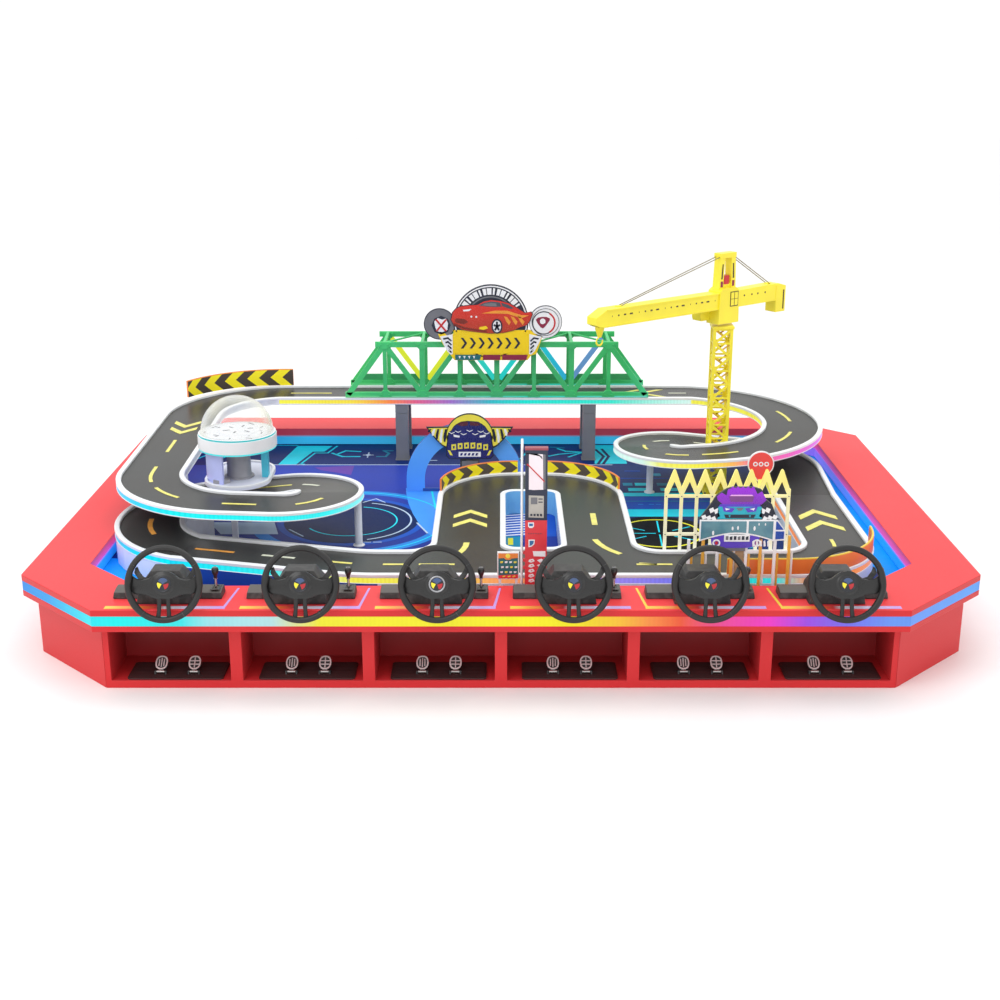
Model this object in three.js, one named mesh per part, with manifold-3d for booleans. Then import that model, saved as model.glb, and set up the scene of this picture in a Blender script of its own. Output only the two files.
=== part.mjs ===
// A low six-player racing table: an octagonal counter round a sunken playfield, with raised roads,
// a truss bridge, a tower crane and small signs inside, and a wheel, a gear lever and two pedals
// for each of six players along the front. Millimetres, +X right, +Y to the back, +Z up.
// The origin is the middle of the table on the floor.
import * as THREE from "three";
import { mergeVertices } from "three/addons/utils/BufferGeometryUtils.js";
import Module from "manifold-3d";

const wasm = await Module();
wasm.setup();

// Driving dimensions of the table
const GAP = 0.3; // between pieces that touch
const TABLE_HALF_WIDTH = 1850;
const TABLE_HALF_DEPTH = 1390;
const TABLE_CHAMFER = 365;
const COUNTER_TOP = 330;
const COUNTER_BOTTOM = 244.3;
const PLINTH_INSET = 48;
const PLINTH_TOP = 244;
const WALL = 22;
const FLOOR_THICKNESS = 12;
const OPENING = { half: 1616, front: -1141, back: 1155, chamfer: 239 };
const LED = { low: 267, high: 305, depth: 8 };

// The front cabinet and its six pedal bays
const CABINET_BACK = -1092;
const BAYS = 6;
const BAY_PITCH = 488.7;
const BAY = { width: 443, low: 30, high: 228, back: -1112 };

// The six player stations
const STATION_PITCH = 491;
const WHEEL = { dx: 16, y: -1390, z: 432, radius: 140, grip: 12, tilt: 70 };
const SHAFT = { radius: 15, reach: 104, clearance: 1.2 };
const LEVER = { dx: 172, y: -1241, z: 351 };
const PEDAL = { y: -1292, z: 44, spacing: 124, shift: 12, width: 46, length: 56, lean: 50 };

// The raised roads
const ROAD_HALF = 143;
const DECK = 25;
const CURB = { width: 16, height: 12 };
const POST_RADIUS = 16;
const DECK_TOP = 562;
const LOW_ROAD = 343;
const BEND_STEP = 15; // degrees
const LOW_FRONT = -1091;
const LOW_BACK = -805;

// The bridge on the back deck
const BRIDGE = { x: -21, y: 990, pitch: 187, bays: 3, foot: 763, top: 858, bar: 16, face: 27, half: 135 };

// The tower crane
const CRANE = { x: 1015, y: 312, mast: 92, head: 1060, jib: 1165, turn: 218, reach: 800, tail: 386 };

// The domed tower
const DOME = { x: -1128, y: -274, deck: 488, ring: 630, rim: 701, radius: 167, glass: 154 };

const FLOOR = PLINTH_TOP + GAP; // where everything inside the counter stands

// ---- materials ----
const paint = (color, roughness = 0.4, metalness = 0) =>
  new THREE.MeshStandardMaterial({ color, roughness, metalness });
const RED = paint(0xe8434b, 0.35);
const DARK_RED = paint(0xc4353d, 0.45);
const BLACK = paint(0x262729, 0.5);
const STEEL = paint(0xbfc3c7, 0.3, 0.9);
const LIGHT = paint(0xffe34d, 0.3);
const NAVY = paint(0x0b3f8c, 0.3);
const ASPHALT = paint(0x5b5b5a, 0.75);
const GREEN = paint(0x3fbf6b, 0.4);
const YELLOW = paint(0xf7d52e, 0.4);
const WHITE = paint(0xf1f3f5, 0.3);
const GLASS = paint(0xdfeef2, 0.05);
const BLUE = paint(0x3b8ee6, 0.35);
const PURPLE = paint(0x7d2fb5, 0.35);

// ---- solids ----
const rad = THREE.MathUtils.degToRad;

function solid(geometry) {
  const plain = geometry.clone();
  plain.deleteAttribute("normal");
  plain.deleteAttribute("uv");
  const merged = mergeVertices(plain, 1e-3);
  const vertProperties = new Float32Array(merged.attributes.position.array);
  const triVerts = new Uint32Array(merged.index.array);
  const made = new wasm.Manifold(new wasm.Mesh({ numProp: 3, vertProperties, triVerts }));
  if (made.volume() > 0) return made;
  for (let i = 0; i < triVerts.length; i += 3) {
    [triVerts[i + 1], triVerts[i + 2]] = [triVerts[i + 2], triVerts[i + 1]];
  }
  return new wasm.Manifold(new wasm.Mesh({ numProp: 3, vertProperties, triVerts }));
}

const join = (...solids) => solids.flat().reduce((all, next) => all.add(next));
const cut = (from, ...tools) => tools.flat().reduce((left, tool) => left.subtract(tool), from);

function block([x0, x1], [y0, y1], [z0, z1]) {
  const box = new THREE.BoxGeometry(x1 - x0, y1 - y0, z1 - z0);
  return solid(box.translate((x0 + x1) / 2, (y0 + y1) / 2, (z0 + z1) / 2));
}

// A flat outline in X and Y, raised from one height to another.
function slab(shape, low, high, curveSegments = 5) {
  const options = { depth: high - low, bevelEnabled: false, curveSegments };
  return solid(new THREE.ExtrudeGeometry(shape, options).translate(0, 0, low));
}

// An upright board: its outline is in X and Z, and it fills front to back in Y.
function board(shape, front, back, curveSegments = 5) {
  const options = { depth: back - front, bevelEnabled: false, curveSegments };
  const flat = new THREE.ExtrudeGeometry(shape, options);
  return solid(flat.rotateX(Math.PI / 2).translate(0, back, 0));
}

function cylinder(radius, low, high, x = 0, y = 0, sides = 16) {
  const round = new THREE.CylinderGeometry(radius, radius, high - low, sides);
  return solid(round.rotateX(Math.PI / 2).translate(x, y, (low + high) / 2));
}

// A round body about Z from its radius and height pairs.
function turned(profile, sides = 24) {
  const points = profile.map(([r, z]) => new THREE.Vector2(r, z));
  return solid(new THREE.LatheGeometry(points, sides).rotateX(Math.PI / 2));
}

// A square bar between two points.
function bar(from, to, width, depth = width) {
  const start = new THREE.Vector3(...from);
  const run = new THREE.Vector3(...to).sub(start);
  const box = new THREE.BoxGeometry(width, run.length(), depth);
  const side = new THREE.Vector3(0, 1, 0).cross(run).normalize();
  if (side.length() < 0.5) side.set(1, 0, 0);
  const up = run.clone().normalize();
  const turn = new THREE.Matrix4().makeBasis(up.clone().cross(side).normalize(), up, side);
  turn.setPosition(start.addScaledVector(run, 0.5));
  return solid(box.applyMatrix4(turn));
}

function outline(points) {
  return new THREE.Shape(points.map(([x, y]) => new THREE.Vector2(x, y)));
}

function disc(x, y, radius) {
  const shape = new THREE.Shape();
  shape.absarc(x, y, radius, 0, Math.PI * 2, false);
  return shape;
}

// ---- pieces ----
const root = new THREE.Group();

function piece(name, body, material, parent = root) {
  const made = body.getMesh();
  const geometry = new THREE.BufferGeometry();
  geometry.setAttribute("position", new THREE.BufferAttribute(made.vertProperties, 3));
  geometry.setIndex(new THREE.BufferAttribute(made.triVerts, 1));
  const mesh = new THREE.Mesh(geometry, material);
  mesh.name = name;
  parent.add(mesh);
  return mesh;
}

function placed(x, y, z, turnX = 0, turnZ = 0) {
  const group = new THREE.Group();
  group.position.set(x, y, z);
  group.rotation.set(rad(turnX), 0, rad(turnZ));
  root.add(group);
  return group;
}

// ---- the table ----
// The table's octagon, drawn in by the same distance on every side.
function octagon(inset) {
  const half = TABLE_HALF_WIDTH - inset;
  const depth = TABLE_HALF_DEPTH - inset;
  const chamfer = TABLE_CHAMFER - inset * (2 - Math.SQRT2);
  return outline([
    [-half + chamfer, -depth], [half - chamfer, -depth], [half, -depth + chamfer],
    [half, depth - chamfer], [half - chamfer, depth], [-half + chamfer, depth],
    [-half, depth - chamfer], [-half, -depth + chamfer],
  ]);
}

function openingOutline() {
  const { half, front, back, chamfer } = OPENING;
  return outline([
    [-half + chamfer, front], [half - chamfer, front], [half, front + chamfer],
    [half, back - chamfer], [half - chamfer, back], [-half + chamfer, back],
    [-half, back - chamfer], [-half, front + chamfer],
  ]);
}

const plinthFrontHalf =
  TABLE_HALF_WIDTH - PLINTH_INSET - (TABLE_CHAMFER - PLINTH_INSET * (2 - Math.SQRT2));
const plinthFront = -(TABLE_HALF_DEPTH - PLINTH_INSET);
const bayCentre = (i) => (i - (BAYS - 1) / 2) * BAY_PITCH;
const stationCentre = (i) => (i - (BAYS - 1) / 2) * STATION_PITCH;

// One block with six pockets that open to the front.
function frontCabinet() {
  const half = plinthFrontHalf;
  const body = block([-half, half], [plinthFront, CABINET_BACK], [0, PLINTH_TOP]);
  const bays = Array.from({ length: BAYS }, (_, i) => {
    const x = bayCentre(i);
    const across = [x - BAY.width / 2, x + BAY.width / 2];
    return block(across, [plinthFront - 20, BAY.back], [BAY.low, BAY.high]);
  });
  return cut(body, bays);
}

const DOOR = { left: 150, right: 550, low: 42, high: 202 };
const plinthBack = TABLE_HALF_DEPTH - PLINTH_INSET;
const BEARERS = [-600, 0, 600];

// The wall round the sides and back, with bearers across it that carry the playfield.
function plinth() {
  const frontOff = block([-2000, 2000], [-2000, CABINET_BACK + GAP], [-10, 300]);
  const corners = [-1, 1].map((side) => {
    const inner = side * (plinthFrontHalf + GAP);
    const outer = side * 2000;
    return block([Math.min(inner, outer), Math.max(inner, outer)], [-2000, 0], [-10, 300]);
  });
  const ring = cut(
    slab(octagon(PLINTH_INSET), 0, PLINTH_TOP),
    slab(octagon(PLINTH_INSET + WALL), -1, PLINTH_TOP + 1),
  );
  const sides = join(cut(ring, frontOff), ...corners.map((c) => ring.intersect(c)));
  const bearers = BEARERS.map((x) =>
    block(
      [x - WALL / 2, x + WALL / 2],
      [CABINET_BACK + GAP, plinthBack - WALL / 2],
      [0, PLINTH_TOP - FLOOR_THICKNESS - GAP],
    ),
  );
  const opening = block(
    [DOOR.left, DOOR.right], [plinthBack - 2 * WALL, plinthBack + 10], [DOOR.low, DOOR.high],
  );
  return cut(join(sides, ...bearers), opening);
}

function playfieldFloor() {
  const inside = slab(octagon(PLINTH_INSET + WALL + 1), PLINTH_TOP - FLOOR_THICKNESS, PLINTH_TOP);
  return cut(inside, block([-2000, 2000], [-2000, CABINET_BACK + 1], [200, 300]));
}

function countertop() {
  const body = cut(
    slab(octagon(0), COUNTER_BOTTOM, COUNTER_TOP),
    slab(openingOutline(), COUNTER_BOTTOM - 1, COUNTER_TOP + 1),
  );
  const groove = cut(slab(octagon(-20), LED.low, LED.high), slab(octagon(LED.depth), 200, 400));
  return cut(body, groove);
}

function edgeLedStrip() {
  return cut(
    slab(octagon(1), LED.low + GAP, LED.high - GAP),
    slab(octagon(LED.depth - GAP), 200, 400),
  );
}

function serviceDoor() {
  const play = 3;
  const leaf = block(
    [DOOR.left + play, DOOR.right - play],
    [plinthBack - 19, plinthBack - 1],
    [DOOR.low + play, DOOR.high - play],
  );
  const knob = cylinder(12, 0, 12, 0, 0, 12).rotate([-90, 0, 0]);
  return join(leaf, knob.translate([DOOR.right - 40, plinthBack - 2, (DOOR.low + DOOR.high) / 2]));
}

// A case with cooling fins, bolted to the side of the right-hand bearer.
function controlBox() {
  const side = BEARERS[2] - WALL / 2 - GAP;
  const body = block([side - 300, side], [960, 1230], [40, 180]);
  const fins = [0, 1, 2, 3, 4].map((i) => {
    const x = side - 272 + i * 52;
    return block([x, x + 20], [980, 1210], [179, 192]);
  });
  return join(body, ...fins);
}

// ---- the player stations ----
function wheelBase() {
  const back = -1190;
  const foot = COUNTER_TOP + GAP;
  const side = outline([[-1335, foot], [back, foot], [back, 420], [-1215, 446], [-1293, 446]]);
  const depth = { depth: 240, bevelEnabled: false };
  const bulk = new THREE.ExtrudeGeometry(side, depth).rotateX(Math.PI / 2).rotateZ(Math.PI / 2);
  const front = outline([
    [-104, foot - 5], [104, foot - 5], [104, 372], [52, 450], [-52, 450], [-104, 372],
  ]);
  const body = solid(bulk.translate(-120, 0, 0)).intersect(board(front, -1400, -1100));
  const wings = block([-203, 200], [-1282, -1200], [foot, foot + 31]);
  const slot = { half: 9, run: 15 };
  const leverX = LEVER.dx;
  const gate = block(
    [leverX - slot.half, leverX + slot.half],
    [LEVER.y - slot.run, LEVER.y + slot.run],
    [foot + 12, foot + 60],
  );
  const socket = cylinder(SHAFT.radius + SHAFT.clearance, -SHAFT.reach - 4, 0, 0, 0, 12);
  const drill = socket.rotate([WHEEL.tilt, 0, 0]).translate([WHEEL.dx, WHEEL.y, WHEEL.z]);
  return cut(join(body, wings), gate, drill);
}

// The wheel lies in its own X and Y, with its top towards +Y and the driver on its +Z side.
function steeringWheel() {
  const middle = WHEEL.radius - WHEEL.grip;
  const rim = solid(new THREE.TorusGeometry(middle, WHEEL.grip, 6, 24));
  const arm = outline([
    [-122, -24], [-70, -40], [70, -40], [122, -24], [122, 16], [60, 30], [-60, 30], [-122, 16],
  ]);
  const arms = slab(arm, -16, -2);
  const stems = [-16, 16].map((x) => block([x - 8, x + 8], [-122, -30], [-14, -3]));
  const hub = cylinder(43, -34, 6, 0, 0, 16);
  const shaft = cylinder(SHAFT.radius, -SHAFT.reach, -30, 0, 0, 12);
  return join(rim, arms, ...stems, hub, shaft);
}

function gearLever() {
  const rod = cylinder(5, -6, 62, 0, 0, 8);
  const knob = turned([[0, 52], [9, 54], [13.5, 70], [10, 86], [0, 90]], 8);
  const pivot = cylinder(6, -7, 7, 0, 0, 8).rotate([0, 90, 0]);
  return join(rod, knob, pivot);
}

function pedalBase() {
  const plate = block([-178, 178], [-1334, -1188], [BAY.low + GAP, BAY.low + 7]);
  const ears = [-1, 1].flatMap((pad) =>
    [-1, 1].map((ear) => {
      const x = (pad * PEDAL.spacing) / 2 + ear * 19;
      return block([x - 3, x + 3], [PEDAL.y - 8, PEDAL.y + 8], [BAY.low + 6, PEDAL.z + 6]);
    }),
  );
  return join(plate, ...ears);
}

// The pad stands in its own Y and Z, hinged on its barrel at the bottom.
function pedal() {
  const pad = new THREE.Shape();
  pad.absellipse(0, PEDAL.length / 2 + 8, PEDAL.width / 2, PEDAL.length / 2, 0, Math.PI * 2);
  const face = board(pad, -5, 5, 7);
  const neck = block([-9, 9], [-4, 4], [-3, 16]);
  const barrel = cylinder(6, -15, 15, 0, 0, 8).rotate([0, 90, 0]);
  return join(face, neck, barrel);
}

// ---- the raised roads ----
// A road's middle line: a start, a heading in degrees and a run of straights and bends.
// A bend has a radius and a turn, positive to the left.
function walk(start, heading, runs) {
  let [x, y] = start;
  let angle = heading;
  let travelled = 0;
  const marks = [];
  const mark = () => marks.push({ x, y, angle, travelled });
  mark();
  for (const run of runs) {
    if (run.length) {
      x += run.length * Math.cos(rad(angle));
      y += run.length * Math.sin(rad(angle));
      travelled += run.length;
      mark();
      continue;
    }
    const side = Math.sign(run.turn);
    const steps = Math.ceil(Math.abs(run.turn) / BEND_STEP);
    const cx = x - side * run.radius * Math.sin(rad(angle));
    const cy = y + side * run.radius * Math.cos(rad(angle));
    const first = angle;
    const before = travelled;
    for (let i = 1; i <= steps; i++) {
      angle = first + (run.turn * i) / steps;
      x = cx + side * run.radius * Math.sin(rad(angle));
      y = cy - side * run.radius * Math.cos(rad(angle));
      travelled = before + (run.radius * rad(Math.abs(run.turn)) * i) / steps;
      mark();
    }
  }
  return marks;
}

// Long straights get marks on the way, so that a slope can change along them.
function divided(runs, most = 220) {
  return runs.flatMap((run) => {
    if (!run.length) return [run];
    const parts = Math.ceil(run.length / most);
    return Array.from({ length: parts }, () => ({ length: run.length / parts }));
  });
}

// Height along a road that falls at one slope to a point, then at another down to its end.
function fall(top, middle, bottom, toMiddle, toBottom) {
  return (s) => {
    if (s < toMiddle) return top + ((middle - top) * s) / toMiddle;
    const part = Math.min(1, (s - toMiddle) / (toBottom - toMiddle));
    return middle + (bottom - middle) * part;
  };
}

// A strip with a chosen cross-section, as pairs of sideways and upward distances.
function strip(marks, heightAt, section) {
  const points = [];
  const count = section.length;
  for (const { x, y, angle, travelled } of marks) {
    const left = [-Math.sin(rad(angle)), Math.cos(rad(angle))];
    for (const [across, up] of section) {
      points.push(x + left[0] * across, y + left[1] * across, heightAt(travelled) + up);
    }
  }
  const faces = [];
  for (let i = 0; i + 1 < marks.length; i++) {
    for (let j = 0; j < count; j++) {
      const a = i * count + j;
      const b = i * count + ((j + 1) % count);
      faces.push(a, b, b + count, a, b + count, a + count);
    }
  }
  const ends = THREE.ShapeUtils.triangulateShape(
    section.map(([across, up]) => new THREE.Vector2(across, up)), [],
  );
  const last = (marks.length - 1) * count;
  for (const [a, b, c] of ends) {
    faces.push(a, c, b, last + a, last + b, last + c);
  }
  const geometry = new THREE.BufferGeometry();
  geometry.setAttribute("position", new THREE.Float32BufferAttribute(points, 3));
  geometry.setIndex(faces);
  return solid(geometry);
}

const deckSection = [
  [-ROAD_HALF, -DECK], [ROAD_HALF, -DECK], [ROAD_HALF, CURB.height],
  [ROAD_HALF - CURB.width, CURB.height], [ROAD_HALF - CURB.width, 0],
  [-ROAD_HALF + CURB.width, 0], [-ROAD_HALF + CURB.width, CURB.height], [-ROAD_HALF, CURB.height],
];
const skirtSection = [
  [-ROAD_HALF, FLOOR - LOW_ROAD], [-ROAD_HALF + 12, FLOOR - LOW_ROAD],
  [-ROAD_HALF + 12, -DECK], [ROAD_HALF - 12, -DECK],
  [ROAD_HALF - 12, FLOOR - LOW_ROAD], [ROAD_HALF, FLOOR - LOW_ROAD],
  ...deckSection.slice(2),
];

const LEFT_RUNS = [
  { radius: 385, turn: 90 }, { length: 867 }, { radius: 385, turn: 90 }, { length: 193 },
  { radius: 206, turn: 180 }, { length: 273 }, { radius: 265, turn: 165 },
];
const RIGHT_RUNS = [
  { radius: 445, turn: -180 }, { length: 82 }, { radius: 205, turn: -180 }, { length: 234 },
  { radius: 250, turn: -90 }, { length: 310 },
];
const LOW_LEFT_RUNS = [{ length: 665 }, { radius: 600, turn: 15 }];

const runLength = (run) => run.length ?? run.radius * rad(Math.abs(run.turn));
const lengthOf = (runs) => runs.reduce((sum, run) => sum + runLength(run), 0);

// A turning road with its curbs: it falls slowly to the middle of its tight bend, then faster.
function spiral(start, heading, runs, tightBend, middle, posts) {
  const toMiddle = lengthOf(runs.slice(0, tightBend)) + runLength(runs[tightBend]) / 2;
  const heightAt = fall(DECK_TOP, middle, LOW_ROAD, toMiddle, lengthOf(runs));
  const marks = walk(start, heading, divided(runs));
  marks[0].x -= GAP * Math.cos(rad(heading + 180));
  const last = marks[marks.length - 1];
  last.x -= GAP * Math.cos(rad(last.angle));
  last.y -= GAP * Math.sin(rad(last.angle));
  const columns = posts.map(([x, y]) => {
    const near = marks.reduce((best, mark) =>
      Math.hypot(mark.x - x, mark.y - y) < Math.hypot(best.x - x, best.y - y) ? mark : best,
    );
    return cylinder(POST_RADIUS, FLOOR, heightAt(near.travelled) - DECK / 2, x, y, 10);
  });
  return join(strip(marks, heightAt, deckSection), ...columns);
}

// A curved wall on the outer curb: angles in degrees about a centre.
function curvedWall(cx, cy, radius, from, to, low, high, thickness = 10) {
  const shape = new THREE.Shape();
  shape.absarc(cx, cy, radius, rad(from), rad(to), false);
  shape.absarc(cx, cy, radius - thickness, rad(to), rad(from), true);
  return slab(shape, low, high, 8);
}

function leftSpiral() {
  const posts = [[-1505, 330], [-604, -448]];
  const road = spiral([-1120, 990], 180, LEFT_RUNS, 4, 478, posts);
  const radius = 385 + ROAD_HALF - 3;
  const top = DECK_TOP + 98;
  const wall = curvedWall(-1120, 605, radius, 90.1, 152, DECK_TOP - 10, top);
  const overhang = block(
    [-1123, -1082], [605 + radius - 10, 605 + radius], [DECK_TOP + CURB.height + GAP, top],
  );
  return join(road, wall, overhang);
}

function rightSpiral() {
  const posts = [[1405, 545], [705, 305], [1290, 860]];
  return spiral([960, 990], 0, RIGHT_RUNS, 2, 470, posts);
}

const lowLeftStart = [-1200 + 265 * Math.cos(rad(255)), -500 + 265 * Math.sin(rad(255))];
const lowLeftMarks = walk(lowLeftStart, -15, divided(LOW_LEFT_RUNS));
const lowLeftEnd = lowLeftMarks[lowLeftMarks.length - 1].x;

function frontLeftRoad() {
  const marks = lowLeftMarks.map((mark) => ({ ...mark }));
  marks[marks.length - 1].x -= GAP;
  return strip(marks, () => LOW_ROAD, skirtSection);
}

const HAIRPIN = { left: -283, right: 549, top: 277, outer: 350, fillet: 100 };
const ISLAND = { left: 20, right: 243, front: -775, back: -20, corner: 45 };
const SPLIT_X = 700;

// The loop road's outer edge, drawn in by a distance.
function hairpinOutline(inset) {
  const { left, right, top, outer, fillet } = HAIRPIN;
  const shape = new THREE.Shape();
  const back = LOW_BACK - inset;
  const bend = outer - inset;
  const hollow = fillet + inset;
  shape.moveTo(lowLeftEnd, LOW_FRONT + inset);
  shape.lineTo(SPLIT_X, LOW_FRONT + inset);
  shape.lineTo(SPLIT_X, back);
  shape.absarc(right + fillet, LOW_BACK + fillet, hollow, rad(-90), rad(-180), true);
  shape.absarc(right - outer, top - outer, bend, 0, rad(90), false);
  shape.absarc(left + outer, top - outer, bend, rad(90), rad(180), false);
  shape.absarc(left - fillet, LOW_BACK + fillet, hollow, 0, rad(-90), true);
  shape.lineTo(lowLeftEnd, back);
  return shape;
}

function islandOutline(outset) {
  const { left, right, front, back, corner } = ISLAND;
  const [x0, x1, y0, y1] = [left - outset, right + outset, front - outset, back + outset];
  const c = corner + outset * (2 - Math.SQRT2);
  return outline([
    [x0 + c, y0], [x1 - c, y0], [x1, y0 + c], [x1, y1 - c], [x1 - c, y1], [x0 + c, y1],
    [x0, y1 - c], [x0, y0 + c],
  ]);
}

// A flat low road from its outline: a deck on a skirt, with a curb along each free edge.
function lowRoad(edge, islands, ends) {
  const skirtInset = 12;
  const bulk = slab(edge(0), FLOOR, LOW_ROAD + CURB.height, 6);
  const hollow = slab(edge(skirtInset), FLOOR - 1, LOW_ROAD - DECK, 6);
  const surface = slab(edge(CURB.width), LOW_ROAD, LOW_ROAD + 50, 6);
  let body = cut(bulk, hollow, surface, ...ends);
  for (const island of islands) {
    const kerb = slab(island(CURB.width), FLOOR, LOW_ROAD + CURB.height);
    body = join(body, kerb);
    body = cut(body, slab(island(0), FLOOR - 1, LOW_ROAD + 50));
  }
  return body;
}

function hairpinRoad() {
  const acrossRoad = [LOW_FRONT + CURB.width, LOW_BACK - CURB.width];
  const ends = [
    block([lowLeftEnd - 1, lowLeftEnd + 20], acrossRoad, [LOW_ROAD, LOW_ROAD + 50]),
    block([SPLIT_X - 20, SPLIT_X + 1], acrossRoad, [LOW_ROAD, LOW_ROAD + 50]),
  ];
  const body = lowRoad(hairpinOutline, [islandOutline], ends);
  const { left, right, top, outer } = HAIRPIN;
  const wallLow = LOW_ROAD - 10;
  const wallHigh = LOW_ROAD + 68;
  const walls = [
    curvedWall(left + outer, top - outer, outer - 3, 88, 172, wallLow, wallHigh),
    curvedWall(right - outer, top - outer, outer - 3, 12, 92, wallLow, wallHigh),
  ];
  return join(body, ...walls);
}

const CORNER = { x: 1112, y: -698, radius: 393 };
const RIGHT_ROAD = { left: 1219, right: 1505, back: -50 };

function frontRightOutline(inset) {
  const shape = new THREE.Shape();
  const start = SPLIT_X + GAP;
  shape.moveTo(start, LOW_FRONT + inset);
  shape.lineTo(CORNER.x, LOW_FRONT + inset);
  shape.absarc(CORNER.x, CORNER.y, CORNER.radius - inset, rad(-90), 0, false);
  shape.lineTo(RIGHT_ROAD.right - inset, RIGHT_ROAD.back);
  shape.lineTo(RIGHT_ROAD.left + inset, RIGHT_ROAD.back);
  const fillet = RIGHT_ROAD.left - CORNER.x;
  shape.absarc(CORNER.x, LOW_BACK + fillet, fillet + inset, 0, rad(-90), true);
  shape.lineTo(start, LOW_BACK - inset);
  return shape;
}

function frontRightRoad() {
  const body = lowRoad(frontRightOutline, [], []);
  const { x, y, radius } = CORNER;
  return join(body, curvedWall(x, y, radius - 3, -80, 0, LOW_ROAD - 10, LOW_ROAD + 75));
}

// ---- the back deck and its bridge ----
const DECK_ENDS = [-1120, 960];

function backDeck() {
  const [left, right] = DECK_ENDS;
  const marks = walk([left + GAP, BRIDGE.y], 0, [{ length: right - left - 2 * GAP }]);
  const column = 73;
  const legs = [-485, 485].flatMap((x) =>
    [883, 1097].map((y) =>
      block(
        [x - column / 2, x + column / 2],
        [y - column / 2, y + column / 2],
        [FLOOR, DECK_TOP - DECK / 2],
      ),
    ),
  );
  return join(strip(marks, () => DECK_TOP, deckSection), ...legs);
}

// One side of the bridge, from its chords, uprights and diagonals.
function truss(y, foot) {
  const { x, pitch, bays, top, bar: size, face } = BRIDGE;
  const low = foot + face / 2;
  const high = top - face / 2;
  const at = (k) => x + k * pitch;
  const ends = [x - BRIDGE.foot, x + BRIDGE.foot];
  const parts = [
    bar([ends[0], y, low], [ends[1], y, low], size, face),
    bar([at(-bays) - 46, y, high], [at(bays) + 46, y, high], size, face),
    bar([ends[0] + 14, y, low], [at(-bays), y, high], size, face),
    bar([ends[1] - 14, y, low], [at(bays), y, high], size, face),
  ];
  for (let k = -bays; k <= bays; k++) {
    parts.push(bar([at(k), y, low], [at(k), y, high], size, face));
  }
  for (let k = -bays + 1; k < bays; k += 2) {
    parts.push(bar([at(k), y, low], [at(k - 1), y, high], size, face));
    parts.push(bar([at(k), y, low], [at(k + 1), y, high], size, face));
  }
  return join(...parts);
}

const trussFoot = DECK_TOP + CURB.height + GAP;

function backTruss() {
  const y = BRIDGE.y + BRIDGE.half;
  const parapet = block(
    [BRIDGE.x - BRIDGE.foot + 30, BRIDGE.x + BRIDGE.foot - 30], [y - 4, y + 6], [trussFoot, 634],
  );
  const reach = BRIDGE.y - BRIDGE.half + BRIDGE.bar / 2 + GAP;
  const across = [];
  const { x, pitch, bays, top, bar: size } = BRIDGE;
  for (let k = -bays; k <= bays; k++) {
    across.push(block([x + k * pitch - 6, x + k * pitch + 6], [reach, y], [top - size, top]));
  }
  for (let k = -bays; k < bays; k++) {
    const side = k % 2 ? 1 : -1;
    const z = top - size / 2;
    const near = [x + (side > 0 ? k : k + 1) * pitch, reach + 9, z];
    const far = [x + (side > 0 ? k + 1 : k) * pitch, y, z];
    across.push(bar(near, far, 9));
  }
  return join(truss(y, trussFoot), parapet, ...across);
}

const SIGN = { x: -50, z: 964, radius: 186, front: 814, back: 834 };

// The sign on the bridge: a big disc, a disc at each side and a plate below.
function bridgeSign() {
  const { x, z, radius, front, back } = SIGN;
  const plate = outline([
    [x - 215, 905], [x + 215, 905], [x + 185, 840], [x + 140, 778],
    [x - 140, 778], [x - 185, 840],
  ]);
  const stay = block([x - 120, x + 120], [back - 2, BRIDGE.y - BRIDGE.half - 8 - GAP], [836, 856]);
  return join(
    board(disc(x, z, radius), front, back, 14),
    board(disc(x - 254, z - 10, 78), front + 3, back, 10),
    board(disc(x + 270, z, 82), front + 3, back, 10),
    board(plate, front - 6, back),
    stay,
  );
}

// ---- the crane ----
// Four corner posts with rings and one diagonal to each face of each bay.
function craneMast() {
  const { x, y, mast, head } = CRANE;
  const foot = 14;
  const reach = mast / 2 - 6;
  const top = head - 12 - GAP;
  const bays = 8;
  const rise = (top - FLOOR - foot) / bays;
  const corner = (i) => [x + (i === 0 || i === 3 ? -reach : reach), y + (i < 2 ? -reach : reach)];
  const parts = [
    block([x - 60, x + 60], [y - 60, y + 60], [FLOOR, FLOOR + foot]),
    block([x - 50, x + 50], [y - 50, y + 50], [top - 10, top]),
  ];
  for (let i = 0; i < 4; i++) {
    const [cx, cy] = corner(i);
    const [nx, ny] = corner((i + 1) % 4);
    parts.push(block([cx - 6, cx + 6], [cy - 6, cy + 6], [FLOOR + 2, top - 2]));
    for (let k = 0; k < bays; k++) {
      const low = FLOOR + foot + k * rise;
      const [from, to] = k % 2 ? [[nx, ny], [cx, cy]] : [[cx, cy], [nx, ny]];
      parts.push(bar([...from, low], [...to, low + rise], 7));
    }
  }
  return join(...parts);
}

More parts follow.
